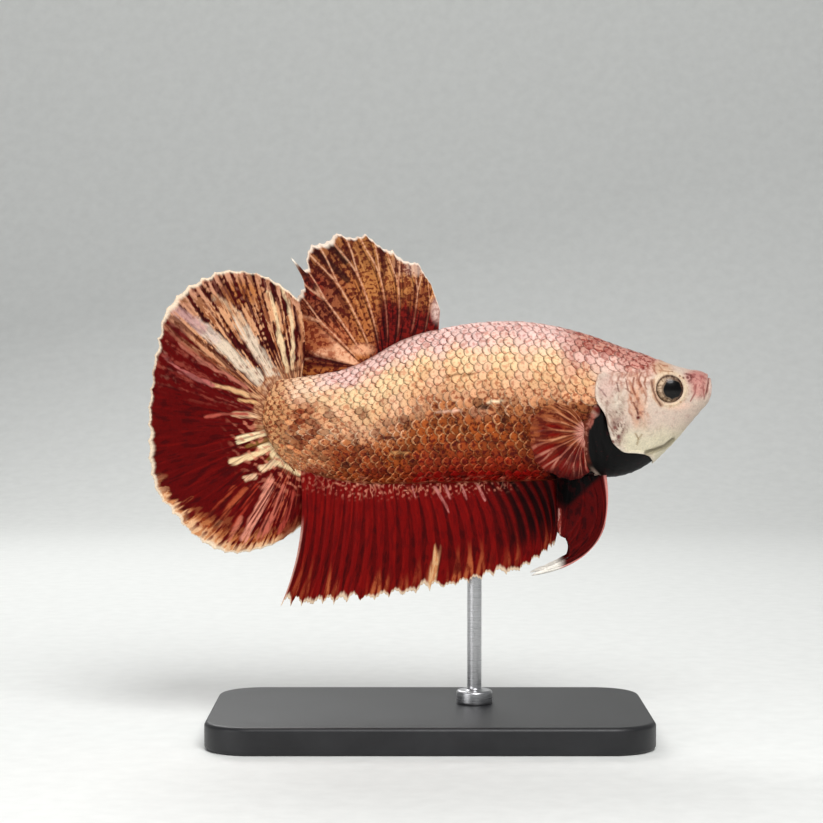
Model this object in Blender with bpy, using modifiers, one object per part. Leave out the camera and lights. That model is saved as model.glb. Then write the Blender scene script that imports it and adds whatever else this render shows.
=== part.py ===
"""A short-finned male betta fish, life size, as a still display model on a plain stand.

Sizes are in millimetres. The fish has its own frame: X runs forwards to the snout, Y to its left side
and Z up from the axis of its body. An empty carries that frame above the floor. The stand is in the
world's frame, with its foot on the floor at the origin.
"""

import math

import bmesh
import bpy
import numpy as np

MM = 0.001

# Driving sizes
TOTAL_LENGTH = 62.0  # snout to the edge of the tail fin
SNOUT_X = TOTAL_LENGTH / 2
AXIS_HEIGHT = 36.8  # body axis above the floor
GAP = 0.35  # between neighbouring pieces
FIN_THICKNESS = 0.55

# Sections of the body: distance behind the snout, top, bottom, half width, height of the widest place
BODY = {
    "snout": (0.0, 1.3, 1.3, 0.0, 1.3),
    "lips": (0.35, 2.5, -0.2, 0.9, 1.2),
    "mouth corners": (1.3, 3.2, -1.35, 1.65, 1.0),
    "nostrils": (2.4, 3.35, -2.65, 2.1, 0.8),
    "eyes": (4.6, 3.95, -5.2, 2.85, 0.3),
    "cheeks": (7.0, 4.95, -7.3, 3.5, -0.2),
    "gills": (10.1, 5.95, -8.55, 4.1, -0.7),
    "shoulders": (14.0, 7.35, -8.75, 4.4, -0.8),
    "high back": (22.3, 8.72, -9.05, 4.35, -0.3),
    "dorsal fin front": (28.7, 8.1, -9.2, 4.0, -0.2),
    "dorsal fin middle": (34.2, 6.5, -9.3, 3.3, -0.7),
    "dorsal fin rear": (39.0, 3.9, -9.25, 2.5, -1.8),
    "tail stem": (43.0, 2.8, -8.6, 1.85, -2.4),
    "tail root": (46.15, 2.4, -7.9, 0.9, -2.6),
}
TOP, BOTTOM, HALF_WIDTH, WIDEST = 1, 2, 3, 4
BODY_END = BODY["tail root"][0]
KEEL = 1.15  # how much the flanks narrow towards the belly; 1 is an ellipse
TAIL_SWEEP = 2.6  # how far the middle of the tail root stands behind its corners
TAIL_TILT = 0.9  # half of how far its top corner stands behind its bottom corner
TAIL_SWEEP_FROM = 39.0
FIRST_RING = 0.05  # the ring round the tip of the snout

# Cuts between the lengths of the body, as distances behind the snout
NAPE_CUT = 13.9
NAPE_SLANT = 0.4  # the cut leans forwards at the top by this
TAIL_CUT = 39.0

# Mouth: a steep slit, from the front of the upper lip to the joint of the jaw
MOUTH_TOP = (30.6, 2.95)
JAW_JOINT = (28.75, -2.5)

# Eyes
EYE_CENTRE = (26.0, 2.4, 1.22)
EYE_SIZE = (1.55, 0.85, 1.55)

# Gill covers in side view, from the top down: the free rear edge, and the hinge line in front
GILL_EDGE = (
    (19.0, 3.7),
    (18.0, 1.9),
    (18.05, 0.0),
    (19.0, -1.5),
    (19.4, -3.1),
    (20.05, -4.7),
    (21.3, -5.6),
    (23.4, -5.6),
)
GILL_HINGE = ((20.9, 3.9), (21.9, 1.6), (22.3, -1.5), (23.1, -3.6), (24.4, -4.5))
GILL_DEPTH = 0.8  # of the plate, most of it let into the head
GILL_PROUD = 0.15

# Gill membrane, a dark ruff under the covers: angle round the body, front edge and rear edge
RUFF = (
    (-2.0, 12.75, 13.1),
    (-17.0, 12.15, 13.3),
    (-30.0, 11.55, 13.3),
    (-41.0, 10.5, 13.2),
    (-52.0, 8.0, 12.9),
    (-68.0, 6.9, 12.2),
    (-90.0, 6.5, 11.5),
)
RUFF_DEPTH = 0.6
RUFF_PROUD = 0.3

# Fin rays, from the first to the last: root x and z, tip x and z, and how far the ray bows forwards
ON_BODY = None  # a root that stands on the outline of the body
DORSAL_RAYS = (
    (1.0, ON_BODY, 1.15, 9.9, 0.0),
    (-0.5, ON_BODY, 0.2, 12.7, 0.1),
    (-2.1, ON_BODY, -1.25, 15.1, 0.3),
    (-3.6, ON_BODY, -4.1, 16.5, 0.5),
    (-4.6, ON_BODY, -7.0, 18.25, 0.7),
    (-5.4, ON_BODY, -10.3, 18.45, 0.7),
    (-6.2, ON_BODY, -13.1, 17.0, 0.6),
    (-6.9, ON_BODY, -14.4, 14.5, 0.3),
    (-7.5, ON_BODY, -14.4, 11.0, 0.2),
    (-8.2, ON_BODY, -13.9, 6.0, 0.0),
    (-8.8, ON_BODY, -13.4, 3.6, 0.0),
)
CAUDAL_RAYS = (
    (-14.5, 3.3, -13.9, 10.9, -0.5),
    (-15.9, 2.95, -18.4, 13.8, -0.3),
    (-17.1, 1.6, -23.8, 13.95, -0.2),
    (-17.95, 0.0, -28.6, 10.4, 0.0),
    (-18.25, -1.4, -30.3, 4.2, 0.0),
    (-18.15, -2.8, -31.0, -2.7, 0.0),
    (-17.7, -4.2, -30.5, -9.2, 0.0),
    (-16.85, -5.6, -27.1, -14.0, 0.0),
    (-15.8, -6.9, -22.8, -16.9, 0.0),
    (-14.95, -7.9, -18.4, -16.4, 0.1),
    (-14.1, -8.45, -14.5, -13.0, 0.2),
)
ANAL_RAYS = (
    (14.0, ON_BODY, 13.6, -16.0, 0.3),
    (11.0, ON_BODY, 13.1, -16.7, 0.7),
    (7.7, ON_BODY, 10.4, -18.7, 0.9),
    (4.4, ON_BODY, 6.6, -19.7, 0.9),
    (1.2, ON_BODY, 2.8, -20.6, 0.8),
    (-2.1, ON_BODY, -1.3, -21.4, 0.6),
    (-5.4, ON_BODY, -5.5, -22.0, 0.5),
    (-8.2, ON_BODY, -9.8, -22.5, 0.4),
    (-10.9, ON_BODY, -13.4, -22.7, 0.5),
    (-13.0, ON_BODY, -16.6, -22.9, 1.0),
)
PELVIC_RAYS = (
    (19.4, -9.1, 11.1, -19.2, 3.8),
    (18.6, -9.2, 12.4, -18.6, 3.3),
    (17.6, -9.3, 15.4, -17.1, 1.8),
    (16.6, -9.3, 15.1, -15.6, 0.8),
    (15.4, -9.3, 14.2, -14.8, 0.2),
    (14.2, -9.3, 14.0, -13.0, 0.0),
)
PECTORAL_RAYS = (
    (16.5, -2.5, 14.6, -0.3, 0.2),
    (16.4, -2.8, 12.7, -0.3, 0.2),
    (16.3, -3.1, 11.0, -1.7, 0.1),
    (16.3, -3.4, 10.6, -4.2, 0.0),
    (16.3, -3.7, 11.5, -6.8, -0.1),
    (16.4, -4.0, 13.6, -8.2, -0.1),
    (16.5, -4.3, 15.6, -8.5, -0.2),
    (16.7, -4.6, 17.1, -7.6, -0.2),
)
PELVIC_STANCE = (0.75, 0.9)  # distance from the middle plane at the root, and what the tip adds
PECTORAL_STANCE = (0.65, 0.9)  # the same from the flank

# Stand
BASE = (48.0, 28.0, 3.0)
BASE_CORNER = 5.0
BASE_RIM = 0.5
ROD_PLACE = (5.0, 2.2)  # beside the anal fin, so that the rod meets the belly
ROD_RADIUS = 0.8
ROD_TOP = AXIS_HEIGHT - 4.6
ROD_FOOT = 1.5  # above the floor, inside the base
COLLAR_RADIUS, COLLAR_HEIGHT = 2.0, 1.2

# Finish of each node: colour and roughness
FINISHES = {
    "head": ((0.62, 0.42, 0.34), 0.4),
    "lower_jaw": ((0.68, 0.5, 0.42), 0.4),
    "gill_cover": ((0.7, 0.58, 0.5), 0.35),
    "gill_membrane": ((0.02, 0.008, 0.01), 0.45),
    "eye": ((0.03, 0.03, 0.025), 0.08),
    "trunk": ((0.56, 0.24, 0.12), 0.4),
    "tail_stem": ((0.5, 0.2, 0.1), 0.4),
    "dorsal_fin": ((0.33, 0.11, 0.06), 0.45),
    "caudal_fin": ((0.3, 0.03, 0.02), 0.45),
    "anal_fin": ((0.3, 0.012, 0.012), 0.45),
    "pelvic_fin": ((0.24, 0.01, 0.012), 0.45),
    "pectoral_fin": ((0.45, 0.1, 0.07), 0.4),
    "stand_base": ((0.03, 0.03, 0.032), 0.35),
    "stand_rod": ((0.6, 0.6, 0.6), 0.3),
}


# ---------------------------------------------------------------- curves and the body's surface


def smooth(keys, values, places):
    """A cubic through (keys, values), read at the places; each tangent follows both neighbours."""
    keys, values, places = (np.asarray(v, float) for v in (keys, values, places))
    step = np.diff(keys)
    slope = np.diff(values) / step
    tangent = np.empty_like(values)
    tangent[1:-1] = (slope[:-1] * step[1:] + slope[1:] * step[:-1]) / (step[1:] + step[:-1])
    tangent[0] = 1.5 * slope[0] - 0.5 * tangent[1]
    tangent[-1] = 1.5 * slope[-1] - 0.5 * tangent[-2]
    i = np.clip(np.searchsorted(keys, places) - 1, 0, len(step) - 1)
    u = (places - keys[i]) / step[i]
    through = (2 * u**3 - 3 * u**2 + 1) * values[i] + (3 * u**2 - 2 * u**3) * values[i + 1]
    bend = (u**3 - 2 * u**2 + u) * tangent[i] + (u**3 - u**2) * tangent[i + 1]
    return through + bend * step[i]


def along(table, places):
    """The columns of a table of points, read smoothly at places from 0, its first row, to 1, its last."""
    keys = np.linspace(0, 1, len(table))
    return [smooth(keys, column, places) for column in zip(*table, strict=True)]


def ease(value, low, high):
    """0 below low, 1 above high, and a smooth step between."""
    u = np.clip((value - low) / (high - low), 0, 1)
    return u * u * (3 - 2 * u)


def profile(behind, column):
    """One column of BODY at distances behind the snout. Their roots as keys keep the snout round."""
    keys = np.sqrt([section[0] for section in BODY.values()])
    values = [section[column] for section in BODY.values()]
    return smooth(keys, values, np.sqrt(np.maximum(behind, 0)))


def body_point(behind, angle):
    """The body's surface. The angle goes round the right side, from the belly at -90 degrees to the back
    at 90, and on round the left side. Each section is two half ellipses, the lower one keeled."""
    behind, angle = np.broadcast_arrays(np.asarray(behind, float), np.asarray(angle, float))
    top, bottom, width, middle = (profile(behind, c) for c in (TOP, BOTTOM, HALF_WIDTH, WIDEST))
    up, side = np.sin(angle), np.cos(angle)
    height = np.where(up > 0, top - middle, middle - bottom) * up
    across = width * np.sign(side) * np.abs(side) ** np.where(up > 0, 1, KEEL)
    sweep = TAIL_SWEEP * (1 - up**2) + TAIL_TILT * up
    lengthwise = SNOUT_X - behind - ease(behind, TAIL_SWEEP_FROM, BODY_END) * sweep
    return np.stack([lengthwise, -across, middle + height], -1)


def outwards(behind, angle):
    """Unit normals of the body's surface, from two small steps over it."""
    small = 1e-3
    rearwards = body_point(behind + small, angle) - body_point(behind - small, angle)
    around = body_point(behind, angle + small) - body_point(behind, angle - small)
    normal = np.cross(around, rearwards)
    return normal / np.linalg.norm(normal, axis=-1, keepdims=True)


def on_flank(x, z):
    """Distance behind the snout and angle of the place on the right flank that shows at (x, z)."""
    behind = SNOUT_X - x
    top, bottom, middle = (profile(behind, c) for c in (TOP, BOTTOM, WIDEST))
    half = np.where(z > middle, top - middle, middle - bottom)
    return behind, np.arcsin(np.clip((z - middle) / half, -1, 1))


# ---------------------------------------------------------------- meshes


def collection(name):
    """The collection of this name, made and linked where it is missing."""
    if name not in bpy.data.collections:
        bpy.context.scene.collection.children.link(bpy.data.collections.new(name))
    return bpy.data.collections[name]


def settle(obj, parent=None, group="betta_fish"):
    """Moves the object into its collection and under its parent."""
    for old in list(obj.users_collection):
        old.objects.unlink(obj)
    collection(group).objects.link(obj)
    obj.parent = parent
    return obj


def mesh_object(name, points, faces, parent):
    """A smooth object from points in millimetres, its doubles merged and its faces turned outwards."""
    mesh = bpy.data.meshes.new(name)
    mesh.from_pydata((np.asarray(points).reshape(-1, 3) * MM).tolist(), [], faces)
    bm = bmesh.new()
    bm.from_mesh(mesh)
    bmesh.ops.remove_doubles(bm, verts=bm.verts, dist=1e-3 * MM)
    bmesh.ops.recalc_face_normals(bm, faces=bm.faces)
    bm.to_mesh(mesh)
    bm.free()
    return settle(shade(bpy.data.objects.new(name, mesh)), parent)


def shade(obj, angle=40):
    """Smooth shading, with edges sharper than the angle kept."""
    obj.data.shade_smooth()
    obj.data.set_sharp_from_angle(angle=math.radians(angle))
    return obj


def grid_faces(rows, columns, start=0, closed=False):
    """Quads of a grid of rows x columns points; closed joins the last column to the first."""
    faces = []
    for row in range(rows - 1):
        for column in range(columns if closed else columns - 1):
            here = start + row * columns + column
            beside = start + row * columns + (column + 1) % columns
            faces.append([here, beside, beside + columns, here + columns])
    return faces


def loft(name, rings, parent):
    """A closed body over rings of equal count, with a fan to the middle of each end ring."""
    rows, columns = rings.shape[:2]
    points = np.concatenate([rings.reshape(-1, 3), [rings[0].mean(0), rings[-1].mean(0)]])
    faces = grid_faces(rows, columns, closed=True)
    for row, middle in ((0, rows * columns), (rows - 1, rows * columns + 1)):
        first = row * columns
        faces += [[first + i, first + (i + 1) % columns, middle] for i in range(columns)]
    return mesh_object(name, points, faces, parent)


def plate(name, inner, outer, parent):
    """A closed plate between two grids of points that face each other."""
    rows, columns = inner.shape[:2]
    count = rows * columns
    index = np.arange(count).reshape(rows, columns)
    rim = [*index[0], *index[1:, -1], *index[-1, -2::-1], *index[-2:0:-1, 0]]
    rim = [int(i) for i in rim]
    faces = grid_faces(rows, columns) + grid_faces(rows, columns, start=count)
    faces += [[a, b, b + count, a + count] for a, b in zip(rim, rim[1:] + rim[:1], strict=True)]
    return mesh_object(name, np.concatenate([inner.reshape(-1, 3), outer.reshape(-1, 3)]), faces, parent)


def modifier(obj, kind, **settings):
    """Adds a modifier with these settings."""
    added = obj.modifiers.new(kind.title(), kind)
    for setting, value in settings.items():
        setattr(added, setting, value)


def cut(obj, cutter):
    """Cuts the cutter's shape out of the object."""
    cutter.hide_render = True
    cutter.display_type = "WIRE"
    settle(cutter, cutter.parent, "cutters")
    modifier(obj, "BOOLEAN", operation="DIFFERENCE", object=cutter, solver="EXACT")


def reshape(obj, edit):
    """Runs edit on the object's mesh as a bmesh, and turns its faces outwards."""
    bm = bmesh.new()
    bm.from_mesh(obj.data)
    edit(bm)
    bm.normal_update()
    bmesh.ops.recalc_face_normals(bm, faces=bm.faces)
    bm.to_mesh(obj.data)
    bm.free()


# ---------------------------------------------------------------- body


def body_rings(front, rear, rows, slant=(0.0, 0.0), crowd=1.0, columns=30):
    """Rings of the body between two cuts, each leaning forwards at the top by its slant; crowd over 1
    brings the rings closer together at the front."""
    angle = -math.pi / 2 + np.arange(columns) / columns * 2 * math.pi
    share = (np.linspace(0, 1, rows) ** crowd)[:, None]
    lean = (slant[0] * (1 - share) + slant[1] * share) * np.sin(angle)
    return body_point(front + (rear - front) * share - lean, angle)


def part_at_mouth(head, jaw):
    """Leaves the head behind the mouth slit and the jaw in front of it."""
    forwards = np.array([MOUTH_TOP[1] - JAW_JOINT[1], 0, JAW_JOINT[0] - MOUTH_TOP[0]])
    forwards /= np.linalg.norm(forwards)
    for obj, sign in ((head, 1), (jaw, -1)):
        point = np.array([MOUTH_TOP[0], 0, MOUTH_TOP[1]]) - sign * forwards * GAP / 2

        def bisect(bm, point=point, sign=sign):
            everything = [*bm.verts, *bm.edges, *bm.faces]
            normal = forwards * sign
            bmesh.ops.bisect_plane(bm, geom=everything, plane_co=point * MM, plane_no=normal, clear_outer=True)
            bmesh.ops.holes_fill(bm, edges=[edge for edge in bm.edges if edge.is_boundary])

        reshape(obj, bisect)


def eye_ball(name, side, grow, fish):
    """A flattened ball on one side of the head, larger all round by grow, with its poles sideways."""
    bpy.ops.mesh.primitive_uv_sphere_add(segments=16, ring_count=8, radius=1)
    ball = bpy.context.object
    ball.name = name
    size = (np.array(EYE_SIZE) + grow) * MM
    centre = np.array(EYE_CENTRE) * (1, side, 1) * MM

    def flatten(bm):
        for vertex in bm.verts:
            x, y, z = vertex.co
            vertex.co = np.array([x, z, y]) * size + centre

    reshape(ball, flatten)
    return settle(shade(ball, 80), fish)


def let_in(inner_depth, proud, region, name, mirror, fish):
    """A plate let into the body over a region, and the cutter of its recess, larger all round by the gap.
    The region gives distance behind the snout and angle, grown by a number of gaps."""
    pieces = []
    for suffix, grow, depth, height in (("", 0, inner_depth, proud), ("_recess", 1, inner_depth + GAP, 1.5)):
        behind, angle = region(grow)
        surface, normal = body_point(behind, angle), outwards(behind, angle)
        inner, outer = (surface - normal * depth) * mirror, (surface + normal * height) * mirror
        pieces.append(plate(name + suffix, inner, outer, fish))
    return pieces


def gill_cover_region(grow):
    """The gill cover in side view: straight lines from the hinge line to the free edge."""
    margin = 0.09 * grow
    down = np.linspace(-0.4 * margin, 1 + 0.4 * margin, 12)
    (hinge_x, hinge_z), (edge_x, edge_z) = along(GILL_HINGE, down), along(GILL_EDGE, down)
    share = np.linspace(-margin, 1 + margin, 6)[:, None]
    return on_flank(hinge_x + (edge_x - hinge_x) * share, hinge_z + (edge_z - hinge_z) * share)


def ruff_region(grow):
    """The gill membrane: from under the right cover round the throat to the left one."""
    angle, front, rear = along(RUFF, np.linspace(0, 1, 11))
    angle = np.radians(angle)
    angle[0] += math.radians(4) * grow
    angle = np.concatenate([angle, -math.pi - angle[-2::-1]])
    edges = front - 1.7 * GAP * grow, rear + GAP * grow  # far enough forwards to meet the covers' recesses
    front, rear = (np.concatenate([edge, edge[-2::-1]]) for edge in edges)
    share = np.linspace(0, 1, 5)[:, None]
    behind = front + (rear - front) * share
    return behind, np.broadcast_to(angle, behind.shape)


def make_head(fish):
    """The head, cut for the mouth, the eyes, the gill covers and the membrane under them."""
    rings = body_rings(FIRST_RING, NAPE_CUT, 20, slant=(0, NAPE_SLANT), crowd=1.6)
    head, jaw = loft("head", rings, fish), loft("lower_jaw", rings, fish)
    part_at_mouth(head, jaw)
    for side, word in ((-1, "right"), (1, "left")):
        eye_ball(f"eye_{word}", side, 0, fish)
        cut(head, eye_ball(f"eye_socket_{word}", side, GAP, fish))
        mirror = (1, -side, 1)
        cover = let_in(GILL_DEPTH, GILL_PROUD, gill_cover_region, f"gill_cover_{word}", mirror, fish)
        cut(head, cover[1])
    ruff = let_in(RUFF_DEPTH, RUFF_PROUD, ruff_region, "gill_membrane", 1, fish)
    cut(head, ruff[1])


def make_trunk(fish):
    """The trunk, with the rod's pocket in its belly, and the tail stem behind it."""
    trunk = loft("trunk", body_rings(NAPE_CUT + GAP, TAIL_CUT, 13, slant=(NAPE_SLANT, 0)), fish)
    loft("tail_stem", body_rings(TAIL_CUT + GAP, BODY_END, 6), fish)
    pocket_top = ROD_TOP + GAP
    below_belly = AXIS_HEIGHT + 1.5 * BODY["high back"][BOTTOM]
    cut(trunk, rod_hole("rod_pocket", below_belly, pocket_top))


# ---------------------------------------------------------------- fins


def fin_sheet(rays, columns, rows, lean, notch=0.0, outline=None):
    """A fin as a grid of points: across from the first ray to the last, and out along each ray.
    Each ray is a straight line that bows forwards. The edge has a shallow notch at every second column.
    lean gives the sideways place from the share across, the share out, x and z."""
    across = np.linspace(0, 1, columns)
    roots = [0.0 if ray[1] is ON_BODY else ray[1] for ray in rays]
    table = [(ray[0], root, *ray[2:]) for ray, root in zip(rays, roots, strict=True)]
    root_x, root_z, tip_x, tip_z, bow = along(table, across)
    if outline is not None:
        lift = GAP if outline == TOP else -GAP
        root_z = profile(SNOUT_X - root_x, outline) + lift
    edge = 1 - notch * (np.arange(columns) % 2)
    run_x, run_z = (tip_x - root_x) * edge, (tip_z - root_z) * edge
    out = np.linspace(0, 1, rows)[:, None]
    swell = 4 * out * (1 - out) * bow / np.hypot(run_x, run_z)
    upwards = np.where(run_z > 0, 1, -1)
    x = root_x + run_x * out + upwards * run_z * swell
    z = root_z + run_z * out - upwards * run_x * swell
    return np.stack([x, lean(across, out, x, z) + 0 * x, z], -1)


def fin(name, sheet, fish):
    """A thin solid fin over its sheet of points."""
    made = mesh_object(name, sheet, grid_faces(*sheet.shape[:2]), fish)
    modifier(made, "SOLIDIFY", thickness=FIN_THICKNESS * MM, offset=0)


def dorsal_lean(across, out, x, z):
    return 0.75 * across * out + 0.2 * out * np.sin(9 * across)


def caudal_lean(across, out, x, z):
    return -0.8 * (1 - 2 * across) * np.sqrt(out) + 0.25 * out * np.sin(14 * across)


def anal_lean(across, out, x, z):
    return -0.75 * across**3 * out + 0.25 * out * np.sin(16 * across)


def pelvic_lean(across, out, x, z):
    return PELVIC_STANCE[0] + PELVIC_STANCE[1] * out


def pectoral_lean(across, out, x, z):
    """From just off the flank at the root, out past the widest place that the fin lies over."""
    flank = -body_point(*on_flank(x, z))[..., 1]
    beside = flank + (flank.max() - flank) * ease(out, 0, 0.8)
    return beside + PECTORAL_STANCE[0] + PECTORAL_STANCE[1] * out + 0.15 * out * np.cos(12 * across)


def make_fins(fish):
    """Three fins in the middle plane, leaning apart where they pass each other, and two pairs."""
    fin("dorsal_fin", fin_sheet(DORSAL_RAYS, 31, 7, dorsal_lean, notch=0.05, outline=TOP), fish)
    fin("caudal_fin", fin_sheet(CAUDAL_RAYS, 41, 7, caudal_lean, notch=0.03), fish)
    fin("anal_fin", fin_sheet(ANAL_RAYS, 41, 6, anal_lean, notch=0.05, outline=BOTTOM), fish)
    pelvic = fin_sheet(PELVIC_RAYS, 9, 10, pelvic_lean)
    pectoral = fin_sheet(PECTORAL_RAYS, 17, 5, pectoral_lean, notch=0.05)
    for side, word in ((-1, "right"), (1, "left")):
        fin(f"pelvic_fin_{word}", pelvic * (1, side, 1), fish)
        fin(f"pectoral_fin_{word}", pectoral * (1, side, 1), fish)


# ---------------------------------------------------------------- stand


def rod_hole(name, bottom, top):
    """A cutter for the rod between two heights, wider than it by the gap."""
    bpy.ops.mesh.primitive_cylinder_add(vertices=18, radius=(ROD_RADIUS + GAP) * MM, depth=(top - bottom) * MM)
    hole = bpy.context.object
    hole.name = name
    hole.location = (ROD_PLACE[0] * MM, ROD_PLACE[1] * MM, (bottom + top) / 2 * MM)
    return hole


def make_base():
    """A flat plate with round corners and bevelled rims, drilled for the rod."""
    bpy.ops.mesh.primitive_cube_add(size=1)
    base = bpy.context.object
    base.name = "stand_base"
    base.location.z = BASE[2] / 2 * MM

    def round_corners(bm):
        bmesh.ops.scale(bm, vec=np.array(BASE) * MM, verts=bm.verts)
        upright = [e for e in bm.edges if abs(e.verts[0].co.z - e.verts[1].co.z) > BASE[2] / 2 * MM]
        bmesh.ops.bevel(bm, geom=upright, offset=BASE_CORNER * MM, segments=4, profile=0.5, affect="EDGES")

    reshape(base, round_corners)
    modifier(base, "BEVEL", width=BASE_RIM * MM, segments=2, limit_method="ANGLE", angle_limit=math.radians(60))
    cut(base, rod_hole("base_hole", ROD_FOOT - GAP, 2 * BASE[2]))
    settle(shade(base))


def make_rod():
    """A turned rod with a collar that stands just clear of the base."""
    collar_foot = BASE[2] + GAP
    collar_top = collar_foot + COLLAR_HEIGHT
    outline = (
        (0, ROD_TOP),
        (ROD_RADIUS, ROD_TOP),
        (ROD_RADIUS, collar_top),
        (COLLAR_RADIUS * 0.85, collar_top),
        (COLLAR_RADIUS, collar_top - 0.3),
        (COLLAR_RADIUS, collar_foot),
        (ROD_RADIUS, collar_foot),
        (ROD_RADIUS, ROD_FOOT),
        (0, ROD_FOOT),
    )
    mesh = bpy.data.meshes.new("stand_rod")
    points = [(radius * MM, 0, height * MM) for radius, height in outline]
    mesh.from_pydata(points, [(i, i + 1) for i in range(len(points) - 1)], [])
    rod = settle(bpy.data.objects.new("stand_rod", mesh))
    rod.location = (ROD_PLACE[0] * MM, ROD_PLACE[1] * MM, 0)
    turns = {"steps": 18, "render_steps": 18, "use_merge_vertices": True, "merge_threshold": 1e-5}
    modifier(rod, "SCREW", angle=2 * math.pi, use_smooth_shade=False, **turns)


# ---------------------------------------------------------------- finish


def finish(obj):
    """Gives the object a material of its own, from the finish whose name its own name starts with."""
    colour, roughness = next(f for name, f in FINISHES.items() if obj.name.startswith(name))
    material = bpy.data.materials.new(obj.name)
    material.use_nodes = True
    shader = material.node_tree.nodes["Principled BSDF"]
    shader.inputs["Base Color"].default_value = (*colour, 1)
    shader.inputs["Roughness"].default_value = roughness
    shader.inputs["Metallic"].default_value = 1.0 if obj.name == "stand_rod" else 0.0
    material.diffuse_color = (*colour, 1)
    obj.data.materials.append(material)


def main():
    for obj in list(bpy.data.objects):
        bpy.data.objects.remove(obj)
    fish = settle(bpy.data.objects.new("fish_frame", None))
    fish.location.z = AXIS_HEIGHT * MM
    make_head(fish)
    make_trunk(fish)
    make_fins(fish)
    make_base()
    make_rod()
    for obj in collection("betta_fish").objects:
        if obj.type == "MESH":
            finish(obj)


main()
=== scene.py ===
"""Looks of the betta fish display model: one skin, overlapping scales, rayed fins, eyes and the stand.

Lengths are in millimetres in the fish's own frame: X runs forwards to the snout, Y to its left side and Z up
from the axis of its body. mesh_piece turns them into metres above the floor. Shapes are worked out for the
right side, where Y is below 0, and mirrored.
"""

import math

import bpy
import numpy as np
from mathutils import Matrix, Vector


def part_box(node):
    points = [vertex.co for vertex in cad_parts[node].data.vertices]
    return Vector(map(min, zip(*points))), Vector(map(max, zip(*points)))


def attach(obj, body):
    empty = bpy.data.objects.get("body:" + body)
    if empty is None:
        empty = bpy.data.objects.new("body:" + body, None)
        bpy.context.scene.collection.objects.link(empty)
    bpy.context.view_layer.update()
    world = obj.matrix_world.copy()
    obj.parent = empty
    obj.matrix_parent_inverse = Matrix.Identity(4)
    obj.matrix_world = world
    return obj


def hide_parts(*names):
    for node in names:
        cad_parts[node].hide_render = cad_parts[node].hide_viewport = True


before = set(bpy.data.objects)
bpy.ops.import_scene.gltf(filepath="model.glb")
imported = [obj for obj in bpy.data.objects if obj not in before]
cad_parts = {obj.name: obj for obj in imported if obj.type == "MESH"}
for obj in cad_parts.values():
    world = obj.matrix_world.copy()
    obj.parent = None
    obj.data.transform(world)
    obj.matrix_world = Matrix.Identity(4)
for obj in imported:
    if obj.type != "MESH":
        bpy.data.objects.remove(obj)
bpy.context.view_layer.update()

MM = 0.001
AXIS_HEIGHT = 36.8  # the body's axis above the floor
SNOUT_X = 31.0
SIDES = (("right", -1), ("left", 1))

# Sections of the body: distance behind the snout, top, bottom, half width, height of the widest place
BODY = {
    "snout": (0.0, 1.3, 1.3, 0.0, 1.3),
    "lips": (0.35, 2.5, -0.2, 0.9, 1.2),
    "mouth corners": (1.3, 3.2, -1.35, 1.65, 1.0),
    "nostrils": (2.4, 3.35, -2.65, 2.1, 0.8),
    "eyes": (4.6, 3.95, -5.2, 2.85, 0.3),
    "cheeks": (7.0, 4.95, -7.3, 3.5, -0.2),
    "gills": (10.1, 5.95, -8.55, 4.1, -0.7),
    "shoulders": (14.0, 7.35, -8.75, 4.4, -0.8),
    "high back": (22.3, 8.72, -9.05, 4.35, -0.3),
    "dorsal fin front": (28.7, 8.1, -9.2, 4.0, -0.2),
    "dorsal fin middle": (34.2, 6.5, -9.3, 3.3, -0.7),
    "dorsal fin rear": (39.0, 3.9, -9.25, 2.5, -1.8),
    "tail stem": (43.0, 2.8, -8.6, 1.85, -2.4),
    "tail root": (46.15, 2.4, -7.9, 0.9, -2.6),
}
TOP, BOTTOM, HALF_WIDTH, WIDEST = 1, 2, 3, 4
BODY_END = BODY["tail root"][0]
KEEL = 1.15  # the power that draws a section's lower half in to a keel
# From here on the sections bend, until at the tail root the middle of the side stands back by the sweep, the
# top stands back by the tilt and the bottom stands forward by it
TAIL_SWEEP_FROM, TAIL_SWEEP, TAIL_TILT = 39.0, 2.6, 0.9
TAIL_FLESH = 0.6  # how far the flesh thins out over the root of the tail fin
SMALL_STEP = 1e-3  # in millimetres and in radians, for the slopes of the body's surface

# The skin's grid: columns round the body, and rows over the head, over the gill membrane and over the trunk
SKIN_COLUMNS = 288
HEAD_ROWS, MEMBRANE_ROWS, TRUNK_ROWS = 156, 14, 90
ROW_CROWDING = 1.35  # the power that draws the head's rows towards the snout
FIRST_ROW = 0.004  # how far behind the snout the first ring stands
# Angle round the body, and how far behind the snout the gill cover's free edge and the trunk's front are
GILL_LINE = (
    (-90, 6.5),
    (-68, 6.6),
    (-52, 7.3),
    (-46.7, 7.9),
    (-42, 8.9),
    (-39.5, 9.7),
    (-35, 10.4),
    (-30.3, 10.95),
    (-17.5, 11.6),
    (-5.4, 12.0),
    (5.8, 12.95),
    (20, 13.0),
    (28, 12.7),
    (36.4, 12.0),
    (50, 11.8),
    (90, 11.8),
)
COLLAR_LINE = (
    (-90, 11.5),
    (-68, 12.4),
    (-52, 13.2),
    (-41, 13.6),
    (-30, 13.75),
    (-18, 13.7),
    (-10, 13.35),
    (-5, 12.6),
    (0, 12.75),
    (5.8, 13.15),
    (20, 13.2),
    (28, 12.95),
    (36.4, 12.4),
    (50, 12.2),
    (90, 12.2),
)
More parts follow.
